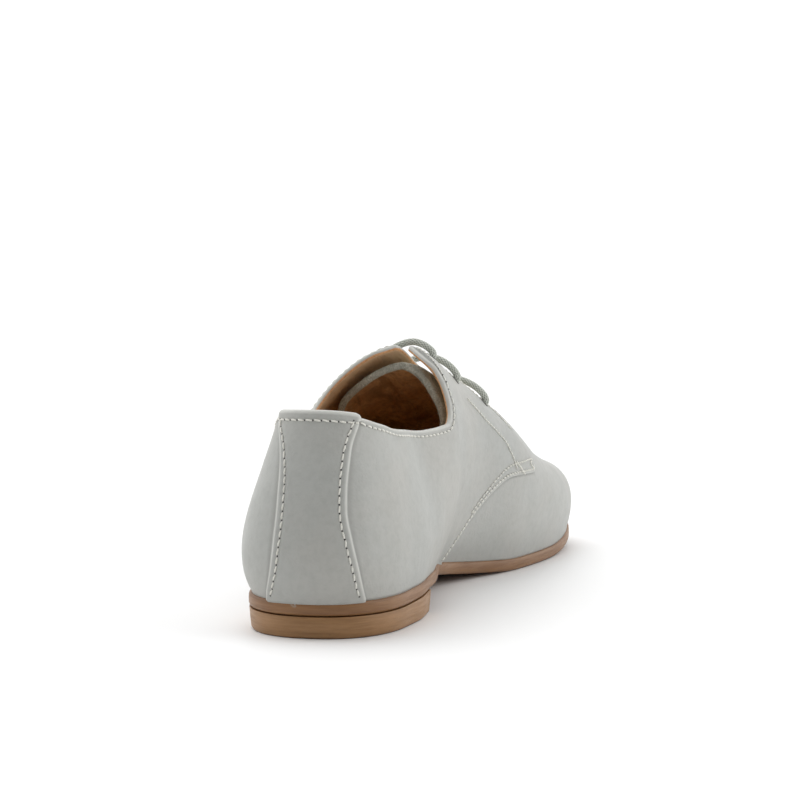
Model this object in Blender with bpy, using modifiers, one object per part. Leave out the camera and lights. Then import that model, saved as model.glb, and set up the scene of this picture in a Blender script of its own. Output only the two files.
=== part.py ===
"""Left derby shoe. Metres, +Z up, +Y to the toe, +X to the medial side.

The origin lies on the floor under the middle of the heel's round back. Every piece is worked out
from one last: the sole's outline, its underside in profile, the ridge over the instep, and
sections that fan out from the ridge to the edge of the sole.
"""
import math

import bmesh
import bpy
import numpy as np

# Main sizes of the last and the sole
SOLE_LENGTH = 0.2680
HEEL_WIDTH = 0.0537
BALL_WIDTH = 0.0808
HEEL_HEIGHT = 0.0074
HEEL_LENGTH = 0.0610
SOLE_THICKNESS = 0.0044
TOE_SPRING = 0.0104
BACK_HEIGHT = 0.0610
INSTEP_HEIGHT = 0.0730
HEEL_CENTRE = 0.0300

# Walls, steps and clearances
WALL = 0.0020
QUARTER_STEP = 0.0009
STRIP_STEP = 0.0008
STEP_RUN = 0.0004
SOLE_MARGIN = 0.0007
TOUCH_GAP = 0.0003
TONGUE_GAP = 0.0009
INSOLE_GAP = 0.0006
LIP_HEIGHT = 0.0010

# Back strip, facings, tongue, insole and laces
STRIP_WIDTH = 0.0340
FACING_GAP = 0.0030
TAB_GAP = 0.0540
TONGUE_WIDTH = 0.0760
TONGUE_THICKNESS = 0.0026
TONGUE_SINK = 0.0034
INSOLE_THICKNESS = 0.0022
LACE_DIAMETER = 0.0025
LACE_SPAN = 0.0195
LACE_ARCH = 0.0012

# Where the half widths pass from the heel's size to the ball's, as shares of the length
WAIST_BACK = 0.19
WAIST_FRONT = 0.54

# Rounding of the outline at its two ends: share of the length, and the curve's powers
HEEL_ROUND = 0.125
HEEL_POWER = 2.3
TOE_ROUND = 0.30
TOE_POWER_MEDIAL = 2.4
TOE_POWER_LATERAL = 1.9

# Outline of the sole: half widths as shares of the half heel width or half ball width, and the
# sideways swing as a share of the ball width
OUTLINE = (
    # along, medial, lateral, swing
    (0.00, 0.96, 0.97, 0.000),
    (0.11, 0.99, 0.99, 0.000),
    (0.17, 1.03, 1.02, 0.000),
    (0.25, 0.93, 1.04, 0.000),
    (0.33, 0.70, 1.01, 0.002),
    (0.39, 0.52, 0.96, 0.007),
    (0.45, 0.47, 0.93, 0.014),
    (0.52, 0.56, 0.95, 0.024),
    (0.58, 0.70, 0.99, 0.034),
    (0.65, 0.81, 1.02, 0.044),
    (0.72, 0.87, 1.02, 0.056),
    (0.80, 0.90, 0.98, 0.076),
    (0.90, 0.92, 0.93, 0.101),
    (1.00, 0.91, 0.91, 0.116),
)
# Underside of the sole in profile
PROFILE = (
    # along, share of heel height, share of toe spring
    (0.00, 1.00, 0.00),
    (0.10, 1.02, 0.00),
    (0.22, 1.12, 0.00),
    (0.32, 1.10, 0.00),
    (0.40, 0.80, 0.00),
    (0.48, 0.43, 0.00),
    (0.56, 0.14, 0.00),
    (0.62, 0.00, 0.00),
    (0.74, 0.00, 0.00),
    (0.80, 0.00, 0.08),
    (0.88, 0.00, 0.34),
    (0.94, 0.00, 0.62),
    (1.00, 0.00, 1.00),
)
# Ridge of the last: the place along it where the section of each place along the sole ends, and
# how far it leans to the medial side, as a share of the ball width
RIDGE = (
    # along, end of section, lean
    (0.00, 0.125, 0.00),
    (0.06, 0.128, 0.01),
    (0.12, 0.145, 0.02),
    (0.20, 0.205, 0.035),
    (0.30, 0.300, 0.065),
    (0.40, 0.400, 0.110),
    (0.50, 0.500, 0.170),
    (0.60, 0.600, 0.215),
    (0.70, 0.695, 0.235),
    (0.80, 0.785, 0.220),
    (0.90, 0.865, 0.185),
    (0.97, 0.915, 0.15),
    (1.00, 0.935, 0.14),
)
# Sections of the last. The rise is a share of BACK_HEIGHT plus a share of INSTEP_HEIGHT. The top's
# reach is a share of the foot's reach. Each side has a low and a high handle: out is a share of
# the ball width, up and down are shares of the rise
SECTIONS = (
    # along, top, back, instep, medial low out, up, high out, down, lateral low out, up, high out, down
    (0.00, 0.61, 1.08, 0.000, 0.09, 0.30, 0.04, 0.34, 0.09, 0.30, 0.04, 0.34),
    (0.06, 0.60, 1.06, 0.000, 0.05, 0.30, 0.04, 0.34, 0.135, 0.28, 0.02, 0.34),
    (0.12, 0.57, 0.98, 0.060, 0.05, 0.31, 0.04, 0.34, 0.135, 0.29, 0.015, 0.34),
    (0.20, 0.49, 0.72, 0.320, 0.08, 0.32, 0.04, 0.34, 0.11, 0.31, 0.010, 0.32),
    (0.28, 0.27, 0.36, 0.680, 0.12, 0.34, 0.15, 0.22, 0.09, 0.34, 0.175, 0.20),
    (0.36, 0.00, 0.00, 1.005, 0.17, 0.36, 0.280, 0.06, 0.08, 0.36, 0.355, 0.07),
    (0.44, 0.00, 0.00, 0.926, 0.18, 0.38, 0.250, 0.05, 0.08, 0.38, 0.390, 0.05),
    (0.52, 0.00, 0.00, 0.832, 0.15, 0.40, 0.270, 0.04, 0.07, 0.40, 0.43, 0.04),
    (0.60, 0.00, 0.00, 0.735, 0.115, 0.44, 0.260, 0.02, 0.06, 0.42, 0.41, 0.02),
    (0.70, 0.00, 0.00, 0.550, 0.085, 0.50, 0.255, 0.00, 0.05, 0.46, 0.37, 0.00),
    (0.80, 0.00, 0.00, 0.425, 0.065, 0.56, 0.29, 0.00, 0.05, 0.54, 0.32, 0.00),
    (0.90, 0.00, 0.00, 0.325, 0.055, 0.62, 0.27, 0.00, 0.05, 0.62, 0.27, 0.00),
    (1.00, 0.00, 0.00, 0.215, 0.04, 0.70, 0.20, 0.00, 0.04, 0.70, 0.20, 0.00),
)
# Topline of the collar, as a share of each section's rise
TOPLINE = (
    # along, medial, lateral
    (0.000, 0.872, 0.872),
    (0.040, 0.855, 0.868),
    (0.100, 0.820, 0.807),
    (0.200, 0.715, 0.710),
    (0.260, 0.660, 0.675),
    (0.300, 0.648, 0.700),
    (0.325, 0.650, 0.765),
    (0.336, 0.680, 0.825),
    (0.343, 0.735, 0.875),
    (0.3475, 0.820, 0.925),
    (0.3510, 0.920, 0.966),
    (0.354, 1.000, 1.000),
)
# Half width of the back strip, as a share of its whole width
STRIP = (
    # height, medial, lateral
    (0.00, 0.530, 0.400),
    (0.17, 0.480, 0.320),
    (0.34, 0.410, 0.285),
    (0.50, 0.345, 0.270),
    (0.68, 0.325, 0.275),
    (0.83, 0.330, 0.305),
    (1.00, 0.395, 0.400),
)
# Where the pattern's lines run along the shoe, at each height of the wall: from the corner of the
# facings, from the end of the throat, and the front seam of the quarter
LINES = (
    # height, corner, throat, seam
    (0.00, 0.240, 0.325, 0.405),
    (0.20, 0.272, 0.352, 0.433),
    (0.36, 0.291, 0.375, 0.455),
    (0.52, 0.308, 0.400, 0.480),
    (0.68, 0.325, 0.430, 0.512),
    (0.78, 0.335, 0.458, 0.542),
    (0.85, 0.342, 0.488, 0.592),
    (0.92, 0.348, 0.530, 0.632),
    (1.00, 0.354, 0.575, 0.636),
)
# Distance from the ridge to the edge of a facing, from half of FACING_GAP (0) to half of TAB_GAP (1)
FACING = (
    # along, medial, lateral
    (0.354, 0.00, 0.00),
    (0.450, 0.13, 0.04),
    (0.520, 0.30, 0.11),
    (0.575, 0.56, 0.22),
    (0.610, 0.84, 0.33),
    (0.640, 1.00, 0.40),
    (0.750, 0.76, 0.38),
    (0.880, 0.44, 0.34),
    (1.000, 0.25, 0.25),
)
# Tongue, from its free edge to its foot under the vamp
TONGUE = (
    # along, share of its width, how far its sides stand forward of its middle, share of TONGUE_SINK
    (0.364, 1.00, 0.012, 1.00),
    (0.42, 0.86, 0.010, 0.35),
    (0.50, 0.70, 0.006, 0.08),
    (0.58, 0.58, 0.002, 0.00),
    (0.66, 0.47, 0.000, 0.00),
)
TONGUE_DEPTH = (
    # distance from its middle as a share of half its width, share of the sink
    (0.0, 1.00),
    (0.5, 0.75),
    (0.8, 0.45),
    (1.0, 1.00),
)
# Lace bars
LACES = (
    # along the ridge, share of LACE_SPAN
    (0.391, 0.66),
    (0.440, 1.03),
    (0.518, 1.22),
)

# Columns of the upper between its lines, rows up its wall, rows over the ridge
STRIP_COLUMNS = 3
BACK_COLUMNS = 12
FACING_COLUMNS = 6
TAB_COLUMNS = 3
VAMP_COLUMNS = 13
WALL_ROWS = 12
RIDGE_ROWS = 8
SOLE_STATIONS = 56
HEEL_STATIONS = 12
ACROSS = 4
TONGUE_ROWS = 12
TONGUE_COLUMNS = 16
LACE_POINTS = 9
LACE_RESOLUTION = 2

# Samples taken along a section and along the topline to measure lengths of skin
HEIGHT_SAMPLES = 241
TOPLINE_SAMPLES = 61
# Small changes of place from which slopes are worked out
EDGE_NUDGE = 0.0001
SKIN_NUDGE = 0.001
# Length over which the quarter thickens ahead of its front seam, in widths of the tab
QUARTER_RUN = 1.6
# Faces that meet at less than this many degrees are shaded as one surface
SMOOTH_ANGLE = 35.0

# Side of the outsole and of the heel, from below: share of the height, inset from the outline
SOLE_SIDE = ((0.0, 0.0006), (0.18, 0.0), (0.80, 0.0), (1.0, 0.0003))
HEEL_SIDE = ((0.0, 0.0012), (0.10, 0.0007), (1.0, 0.0002))
HEEL_DIP = 0.0030
WELD = 0.00005

# Colours
LEATHER_COLOUR = (0.46, 0.46, 0.44)
SOLE_COLOUR = (0.26, 0.14, 0.07)
HEEL_COLOUR = (0.33, 0.19, 0.10)
LINING_COLOUR = (0.38, 0.21, 0.11)
TONGUE_COLOUR = (0.36, 0.36, 0.34)
LACE_COLOUR = (0.33, 0.34, 0.32)
LEATHER_ROUGHNESS = 0.55
SOLE_ROUGHNESS = 0.50
CLOTH_ROUGHNESS = 0.80

MEDIAL, LATERAL = 1, -1


def read(table, column, place):
    """Column of a table at each place, along a cubic that never overshoots its rows."""
    rows = np.array(table)
    x, y = rows[:, 0], rows[:, column]
    gap = np.diff(x)
    slope = np.diff(y) / gap
    level = slope[:-1] * slope[1:] <= 0
    before = np.where(level, 1.0, slope[:-1])
    after = np.where(level, 1.0, slope[1:])
    near = gap[:-1] + 2 * gap[1:]
    far = 2 * gap[:-1] + gap[1:]
    inner = np.where(level, 0.0, (near + far) / (near / before + far / after))
    bend = np.concatenate([slope[:1], inner, slope[-1:]])
    place = np.clip(place, x[0], x[-1])
    k = np.clip(np.searchsorted(x, place, side="right") - 1, 0, len(gap) - 1)
    t = (place - x[k]) / gap[k]
    start = (1 + 2 * t) * (1 - t) ** 2 * y[k] + t * (1 - t) ** 2 * gap[k] * bend[k]
    end = t * t * (3 - 2 * t) * y[k + 1] + t * t * (t - 1) * gap[k] * bend[k + 1]
    return start + end


def ease(value):
    """0 to 1 with level ends."""
    value = np.clip(value, 0.0, 1.0)
    return value * value * (3 - 2 * value)


def turn_of(along):
    """A place along the shoe as a turn, which packs columns closer at heel and toe."""
    return np.arccos(1 - 2 * np.clip(along, 0, 1)) / math.pi


def along_of(turn):
    return (1 - np.cos(math.pi * np.asarray(turn, dtype=float))) / 2


def side_column(side):
    """Column of the tables that hold a medial and then a lateral value."""
    return 1 if side == MEDIAL else 2


def outline_x(side, along):
    """Sideways place of the sole's edge."""
    toe_power = TOE_POWER_MEDIAL if side == MEDIAL else TOE_POWER_LATERAL
    ball_rules = ease((along - WAIST_BACK) / (WAIST_FRONT - WAIST_BACK))
    half = HEEL_WIDTH / 2 * (1 - ball_rules) + BALL_WIDTH / 2 * ball_rules
    heel = np.clip(1 - along / HEEL_ROUND, 0, 1)
    toe = np.clip(1 - (1 - along) / TOE_ROUND, 0, 1)
    round_off = (1 - heel**HEEL_POWER) ** (1 / HEEL_POWER) * (1 - toe**toe_power) ** (1 / toe_power)
    swing = read(OUTLINE, 3, along) * BALL_WIDTH
    return side * read(OUTLINE, side_column(side), along) * half * round_off + swing


def sole_y(along):
    return along * SOLE_LENGTH - HEEL_CENTRE


def underside(along):
    """Height of the sole's underside."""
    return read(PROFILE, 1, along) * HEEL_HEIGHT + read(PROFILE, 2, along) * TOE_SPRING


def sole_top(along):
    return underside(along) + SOLE_THICKNESS


def sole_edge(side, along, inset=0.0):
    """Place on the sole's outline, or on the line that lies inside it by the inset."""
    along = np.asarray(along, dtype=float)
    back = np.clip(along - EDGE_NUDGE, 0, 1)
    front = np.clip(along + EDGE_NUDGE, 0, 1)
    run_x = outline_x(side, front) - outline_x(side, back)
    run_y = (front - back) * SOLE_LENGTH
    run = np.hypot(run_x, run_y)
    tip = (along <= 0) | (along >= 1)
    in_x = np.where(tip, 0.0, -side * run_y / run)
    in_y = np.where(tip, np.where(along <= 0, 1.0, -1.0), side * run_x / run)
    return outline_x(side, along) + in_x * inset, sole_y(along) + in_y * inset


def last_point(side, turn, height):
    """Point of the last's skin. Height runs from its lower edge (0) to the ridge (1)."""
    turn, height = np.broadcast_arrays(turn, height)
    along = along_of(turn)
    foot_x, foot_y = sole_edge(side, along, SOLE_MARGIN + WALL)
    foot_z = sole_top(along) + TOUCH_GAP + LIP_HEIGHT
    end = read(RIDGE, 1, along)
    ridge_x = read(RIDGE, 2, along) * BALL_WIDTH
    ridge_y = sole_y(end)
    reach = np.hypot(foot_x - ridge_x, foot_y - ridge_y)
    out_x = (foot_x - ridge_x) / reach
    out_y = (foot_y - ridge_y) / reach
    rise = read(SECTIONS, 2, along) * BACK_HEIGHT + read(SECTIONS, 3, along) * INSTEP_HEIGHT
    top = read(SECTIONS, 1, along) * reach
    column = 4 if side == MEDIAL else 8
    low_out = reach + read(SECTIONS, column, along) * BALL_WIDTH
    low_up = read(SECTIONS, column + 1, along) * rise
    high_out = top + read(SECTIONS, column + 2, along) * BALL_WIDTH
    high_up = rise - read(SECTIONS, column + 3, along) * rise
    a = (1 - height) ** 3
    b = 3 * height * (1 - height) ** 2
    c = 3 * height**2 * (1 - height)
    d = height**3
    out = a * reach + b * low_out + c * high_out + d * top
    up = b * low_up + c * high_up + d * rise
    return np.stack([ridge_x + out_x * out, ridge_y + out_y * out, foot_z + up], -1)


def skin_normal(side, turn, height):
    """Outward direction of the last's skin."""
    ahead = np.clip(turn + SKIN_NUDGE, 0, 1)
    behind = np.clip(turn - SKIN_NUDGE, 0, 1)
    above = np.clip(height + SKIN_NUDGE, 0, 1)
    below = np.clip(height - SKIN_NUDGE, 0, 1)
    along_run = last_point(side, ahead, height) - last_point(side, behind, height)
    height_run = last_point(side, turn, above) - last_point(side, turn, below)
    normal = np.cross(along_run, height_run) * side
    return normal / np.linalg.norm(normal, axis=-1, keepdims=True)


def skin(side, turn, height, out):
    """Point at a distance outside the last's skin, or inside it where the distance is negative."""
    return last_point(side, turn, height) + skin_normal(side, turn, height) * out


def over_ridge(turn, distance, out):
    """Point beside the ridge: distance along the skin, positive to the medial side."""
    side = MEDIAL if distance >= 0 else LATERAL
    point = skin(side, turn, height_from_ridge(side, turn, abs(distance)), out)
    if distance == 0:
        point = (point + skin(LATERAL, turn, 1.0, out)) / 2
    return point


def girth(side, turn):
    """Heights up one section, and the length of skin from each of them to the ridge."""
    heights = np.linspace(0, 1, HEIGHT_SAMPLES)
    points = last_point(side, np.full_like(heights, turn), heights)
    steps = np.linalg.norm(np.diff(points, axis=0), axis=-1)
    return heights, np.concatenate([np.cumsum(steps[::-1])[::-1], [0.0]])


def height_from_ridge(side, turn, distance):
    """Height of the point that lies a length of skin from the ridge."""
    heights, lengths = girth(side, turn)
    return float(np.interp(distance, lengths[::-1], heights[::-1]))


def turn_from_back(side, height, distance):
    """Turn of the point that lies a length of skin from the middle of the back."""
    turns = np.linspace(0, turn_of(WAIST_FRONT), HEIGHT_SAMPLES)
    points = last_point(side, turns, np.full_like(turns, height))
    lengths = np.concatenate([[0.0], np.cumsum(np.linalg.norm(np.diff(points, axis=0), axis=-1))])
    return float(np.interp(distance, lengths, turns))


def facing_distance(side, along):
    """Length of skin from the ridge to the edge of a facing."""
    share = float(read(FACING, side_column(side), along))
    return (FACING_GAP + (TAB_GAP - FACING_GAP) * share) / 2


def top_height(side, turn):
    """Height of the upper's edge: the topline of the collar, then the edge of the facing."""
    along = float(along_of(turn))
    heights = np.linspace(0, 1, HEIGHT_SAMPLES)
    levels = last_point(side, np.full_like(heights, turn), heights)[:, 2]
    shares = (levels - levels[0]) / (levels[-1] - levels[0])
    collar = float(np.interp(read(TOPLINE, side_column(side), along), shares, heights))
    return min(collar, height_from_ridge(side, turn, facing_distance(side, along)))


def line_turn(side, name, share):
    """Turn of one of the pattern's lines at a share of the wall's height."""
    if name == "strip":
        height = share * top_height(side, 0.0)
        half = STRIP_WIDTH * float(read(STRIP, side_column(side), share))
        return turn_from_back(side, height, half)
    column = {"corner": 1, "throat": 2, "seam": 3}[name]
    return float(turn_of(read(LINES, column, share)))


def quarter_level(along, share):
    """Thickness of the quarter's wall: it rises to QUARTER_STEP over the vamp's edge."""
    seam = read(LINES, 3, share)
    throat = read(LINES, 2, share)
    return WALL + QUARTER_STEP * float(ease(1 - (seam - along) / (QUARTER_RUN * (seam - throat))))


def topline_places(side, start, end):
    """Shares of the way between two turns that space the columns evenly along the topline."""
    ways = np.linspace(0, 1, TOPLINE_SAMPLES)
    turns = start + (end - start) * ways
    points = np.array([last_point(side, turn, top_height(side, turn)) for turn in turns])
    steps = np.linalg.norm(np.diff(points, axis=0), axis=-1)
    lengths = np.concatenate([[0.0], np.cumsum(steps)])
    wanted = np.linspace(0, lengths[-1], BACK_COLUMNS + 1)
    return np.interp(wanted, lengths, ways)


def wall_columns(side):
    """Columns of one side of the upper: turn and thickness at each row, and whether it reaches the ridge."""
    shares = np.linspace(0, 1, WALL_ROWS + 1)
    strip = np.array([line_turn(side, "strip", share) for share in shares])
    corner = np.array([line_turn(side, "corner", share) for share in shares])
    throat = np.array([line_turn(side, "throat", share) for share in shares])
    seam = np.array([line_turn(side, "seam", share) for share in shares])
    run = STEP_RUN / SOLE_LENGTH
    after_strip = turn_of(along_of(strip) + run)
    after_seam = turn_of(along_of(seam) + run)
    toe = np.ones_like(shares)
    columns = []

    def spread(start, end, count, kind, last=False, places=None):
        for k in range(count + (1 if last else 0)):
            place = k / count
            if places is not None:
                place = place + (places[k] - place) * shares
            columns.append((start + (end - start) * place, kind))

    spread(np.zeros_like(shares), strip, STRIP_COLUMNS, "strip", last=True)
    along_topline = topline_places(side, after_strip[-1], corner[-1])
    spread(after_strip, corner, BACK_COLUMNS, "quarter", places=along_topline)
    spread(corner, throat, FACING_COLUMNS, "quarter")
    spread(throat, seam, TAB_COLUMNS, "tab", last=True)
    spread(after_seam, toe, VAMP_COLUMNS, "vamp", last=True)
    return shares, columns


def wall_level(kind, turn, share):
    if kind == "strip":
        return WALL + STRIP_STEP
    if kind == "vamp":
        return WALL
    return quarter_level(float(along_of(turn)), share)


def side_grid(side):
    """Points and thickness of one side: rows of the wall, then rows over the ridge where it is closed."""
    shares, columns = wall_columns(side)
    grid = []
    for turns, kind in columns:
        top = top_height(side, turns[-1])
        heights = shares * top
        points = list(last_point(side, turns, heights))
        levels = [wall_level(kind, turn, share) for turn, share in zip(turns, shares)]
        foot = points[0].copy()
        foot[2] -= LIP_HEIGHT
        points.insert(0, foot)
        levels.insert(0, levels[0])
        if kind in ("tab", "vamp"):
            ridge_run = STEP_RUN / girth(side, turns[-1])[1][0]
            for k in range(RIDGE_ROWS + 1):
                start = top + ridge_run
                height = start + (1 - start) * k / RIDGE_ROWS
                points.append(last_point(side, turns[-1], height))
                levels.append(WALL)
        grid.append((points, levels))
    return grid


def new_material(name, colour, roughness):
    material = bpy.data.materials.new(name)
    material.use_nodes = True
    shader = material.node_tree.nodes["Principled BSDF"]
    shader.inputs["Base Color"].default_value = (*colour, 1.0)
    shader.inputs["Roughness"].default_value = roughness
    shader.inputs["Metallic"].default_value = 0.0
    material.diffuse_color = (*colour, 1.0)
    return material


def new_object(name, data, collection, material):
    piece = bpy.data.objects.new(name, data)
    data.materials.append(material)
    collection.objects.link(piece)
    return piece


def smooth(mesh):
    mesh.shade_smooth()
    mesh.set_sharp_from_angle(angle=math.radians(SMOOTH_ANGLE))


def make_upper(collection):
    """One hollow wall: the last's skin, thickened outward by the level of each zone."""
    build = bmesh.new()
    thickest = WALL + max(QUARTER_STEP, STRIP_STEP)
    weights = build.verts.layers.deform.verify()
    for side in (MEDIAL, LATERAL):
        rows = []
        for points, levels in side_grid(side):
            column = []
            for point, level in zip(points, levels):
                vertex = build.verts.new(point)
                vertex[weights][0] = level / thickest
                column.append(vertex)
            rows.append(column)
        for near, far in zip(rows, rows[1:]):
            for k in range(min(len(near), len(far)) - 1):
                corners = (near[k], far[k], far[k + 1], near[k + 1])
                build.faces.new(corners if side == MEDIAL else corners[::-1])
    bmesh.ops.remove_doubles(build, verts=build.verts, dist=WELD)
    mesh = bpy.data.meshes.new("upper")
    build.to_mesh(mesh)
    build.free()
    leather = new_material("grey leather", LEATHER_COLOUR, LEATHER_ROUGHNESS)
    piece = new_object("upper", mesh, collection, leather)
    piece.vertex_groups.new(name="wall")
    wall = piece.modifiers.new("Wall", "SOLIDIFY")
    wall.thickness = thickest
    wall.offset = 1.0
    wall.vertex_group = "wall"
    wall.use_rim = True
    smooth(mesh)
    return piece


def slab(name, collection, material, turns, rings, front_dip=0.0):
    """Solid between the two sides of the sole's outline. Each ring has an inset and its heights."""
    build = bmesh.new()
    across = np.linspace(0, 1, ACROSS + 1)
    along = along_of(turns)
    layers = []
    for inset, heights in rings:
        left_x, left_y = sole_edge(LATERAL, along, inset)
        right_x, right_y = sole_edge(MEDIAL, along, inset)
        layer = []
        for k in range(len(turns)):
            dip = front_dip if k == len(turns) - 1 else 0.0
            row = []
            for share in across:
                x = left_x[k] + (right_x[k] - left_x[k]) * share
                y = left_y[k] + (right_y[k] - left_y[k]) * share - dip * (1 - (2 * share - 1) ** 2)
                row.append(build.verts.new((x, y, heights[k])))
            layer.append(row)
        layers.append(layer)
    for layer, flip in ((layers[0], True), (layers[-1], False)):
        for near, far in zip(layer, layer[1:]):
            for k in range(ACROSS):
                corners = (near[k], near[k + 1], far[k + 1], far[k])
                build.faces.new(corners[::-1] if flip else corners)
    for low, high in zip(layers, layers[1:]):
        ring_low = outline_loop(low)
        ring_high = outline_loop(high)
        for k in range(len(ring_low)):
            after = (k + 1) % len(ring_low)
            build.faces.new((ring_low[k], ring_low[after], ring_high[after], ring_high[k]))
    loose = [vertex for vertex in build.verts if not vertex.link_faces]
    bmesh.ops.delete(build, geom=loose, context="VERTS")
    bmesh.ops.remove_doubles(build, verts=build.verts, dist=WELD)
    bmesh.ops.recalc_face_normals(build, faces=build.faces)
    mesh = bpy.data.meshes.new(name)
    build.to_mesh(mesh)
    build.free()
    smooth(mesh)
    return new_object(name, mesh, collection, material)


def outline_loop(layer):
    """Vertices round the edge of a grid, counter-clockwise from above."""
    right = [row[-1] for row in layer]
    left = [row[0] for row in layer]
    return layer[0][:-1] + right + layer[-1][-2:0:-1] + left[:0:-1]


def make_outsole(collection):
    turns = np.linspace(0, 1, SOLE_STATIONS + 1)
    bottom = underside(along_of(turns))
    rings = [(inset, bottom + SOLE_THICKNESS * share) for share, inset in SOLE_SIDE]
    return slab("outsole", collection, new_material("tan sole", SOLE_COLOUR, SOLE_ROUGHNESS), turns, rings)


def make_heel(collection):
    turns = np.linspace(0, float(turn_of(HEEL_LENGTH / SOLE_LENGTH)), HEEL_STATIONS + 1)
    top = underside(along_of(turns)) - TOUCH_GAP
    rings = [(inset, top * share) for share, inset in HEEL_SIDE]
    leather = new_material("tan heel", HEEL_COLOUR, SOLE_ROUGHNESS)
    return slab("heel", collection, leather, turns, rings, HEEL_DIP)


def make_insole(collection):
    turns = np.linspace(0, 1, SOLE_STATIONS + 1)
    low = sole_top(along_of(turns)) + TOUCH_GAP
    inset = SOLE_MARGIN + WALL + INSOLE_GAP
    rings = [(inset, low), (inset, low + INSOLE_THICKNESS)]
    leather = new_material("insole leather", LINING_COLOUR, LEATHER_ROUGHNESS)
    return slab("insole", collection, leather, turns, rings)


def make_tongue(collection):
    """A sheet under the facings, from its free edge at the collar to its foot under the vamp."""
    build = bmesh.new()
    first, last = TONGUE[0][0], TONGUE[-1][0]
    rows = []
    for place in np.linspace(first, last, TONGUE_ROWS + 1):
        half = TONGUE_WIDTH / 2 * float(read(TONGUE, 1, place))
        forward = float(read(TONGUE, 2, place))
        sink = TONGUE_SINK * float(read(TONGUE, 3, place))
        row = []
        for share in np.linspace(-1, 1, TONGUE_COLUMNS + 1):
            gap = TONGUE_GAP + sink * float(read(TONGUE_DEPTH, 1, abs(share)))
            turn = float(turn_of(place + forward * share**2))
            row.append(build.verts.new(over_ridge(turn, half * share, -gap)))
        rows.append(row)
    for near, far in zip(rows, rows[1:]):
        for k in range(TONGUE_COLUMNS):
            build.faces.new((near[k], near[k + 1], far[k + 1], far[k]))
    mesh = bpy.data.meshes.new("tongue")
    build.to_mesh(mesh)
    build.free()
    piece = new_object("tongue", mesh, collection, new_material("grey suede", TONGUE_COLOUR, CLOTH_ROUGHNESS))
    thickness = piece.modifiers.new("Thickness", "SOLIDIFY")
    thickness.thickness = TONGUE_THICKNESS
    thickness.offset = -1.0
    smooth(mesh)
    return piece


def make_lace_bar(name, place, span, collection, material):
    """A round bar over the facings, from hole to hole, clear of the leather."""
    turn = float(turn_of(place))
    spline_points = []
    for share in np.linspace(-1, 1, LACE_POINTS):
        level = quarter_level(place, 1.0)
        out = level + TOUCH_GAP + LACE_DIAMETER / 2 + LACE_ARCH * (1 - share**2)
        spline_points.append(over_ridge(turn, span / 2 * share, out))
    curve = bpy.data.curves.new(name, "CURVE")
    curve.dimensions = "3D"
    curve.bevel_depth = LACE_DIAMETER / 2
    curve.bevel_resolution = LACE_RESOLUTION
    curve.use_fill_caps = True
    spline = curve.splines.new("POLY")
    spline.points.add(len(spline_points) - 1)
    for target, point in zip(spline.points, spline_points):
        target.co = (*point, 1.0)
    return new_object(name, curve, collection, material)


def main():
    for piece in list(bpy.data.objects):
        bpy.data.objects.remove(piece, do_unlink=True)
    collection = bpy.data.collections.new("derby shoe")
    bpy.context.scene.collection.children.link(collection)
    make_heel(collection)
    make_outsole(collection)
    make_insole(collection)
    make_upper(collection)
    make_tongue(collection)
    lace = new_material("grey lace", LACE_COLOUR, CLOTH_ROUGHNESS)
    for number, (place, span_share) in enumerate(LACES, start=1):
        make_lace_bar(f"lace_bar_{number}", place, LACE_SPAN * span_share, collection, lace)


main()
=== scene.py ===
"""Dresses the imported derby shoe: leather skin, stitching, lining, suede tongue, laces, sole, heel."""
import math

import bmesh
import bpy
import numpy as np
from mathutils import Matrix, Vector
from mathutils.bvhtree import BVHTree
from mathutils.kdtree import KDTree


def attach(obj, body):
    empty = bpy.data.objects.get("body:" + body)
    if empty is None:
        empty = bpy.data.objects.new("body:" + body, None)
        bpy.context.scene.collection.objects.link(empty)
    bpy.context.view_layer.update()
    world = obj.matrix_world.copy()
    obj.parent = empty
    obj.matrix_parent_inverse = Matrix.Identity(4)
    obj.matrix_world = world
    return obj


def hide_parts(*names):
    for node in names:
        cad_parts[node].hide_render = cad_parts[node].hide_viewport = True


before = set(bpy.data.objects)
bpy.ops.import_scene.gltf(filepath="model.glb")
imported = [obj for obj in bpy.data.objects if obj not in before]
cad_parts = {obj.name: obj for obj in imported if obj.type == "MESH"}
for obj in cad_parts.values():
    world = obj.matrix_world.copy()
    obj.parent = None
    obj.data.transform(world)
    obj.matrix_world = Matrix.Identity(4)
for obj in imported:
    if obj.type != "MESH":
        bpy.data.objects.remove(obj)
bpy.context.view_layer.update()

# Main sizes of the last and the sole
SOLE_LENGTH = 0.2680
HEEL_WIDTH = 0.0537
BALL_WIDTH = 0.0808
HEEL_HEIGHT = 0.0074
HEEL_LENGTH = 0.0610
SOLE_THICKNESS = 0.0044
TOE_SPRING = 0.0104
BACK_HEIGHT = 0.0610
INSTEP_HEIGHT = 0.0730
HEEL_CENTRE = 0.0300

# Walls, steps and clearances
WALL = 0.0020
QUARTER_STEP = 0.0009
STRIP_STEP = 0.0008
STEP_RUN = 0.0004
SOLE_MARGIN = 0.0007
TOUCH_GAP = 0.0003
TONGUE_GAP = 0.0009
LIP_HEIGHT = 0.0010

# Back strip, facings, tongue and laces
STRIP_WIDTH = 0.0340
FACING_GAP = 0.0030
TAB_GAP = 0.0540
TONGUE_WIDTH = 0.0760
TONGUE_THICKNESS = 0.0026
TONGUE_SINK = 0.0034
LACE_DIAMETER = 0.0025
LACE_SPAN = 0.0195
LACE_ARCH = 0.0012

# Where the half widths pass from the heel's size to the ball's, as shares of the length
WAIST_BACK = 0.19
WAIST_FRONT = 0.54

# Rounding of the outline at its two ends: share of the length, and the curve's powers
HEEL_ROUND = 0.125
HEEL_POWER = 2.3
TOE_ROUND = 0.30
TOE_POWER_MEDIAL = 2.4
TOE_POWER_LATERAL = 1.9

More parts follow.
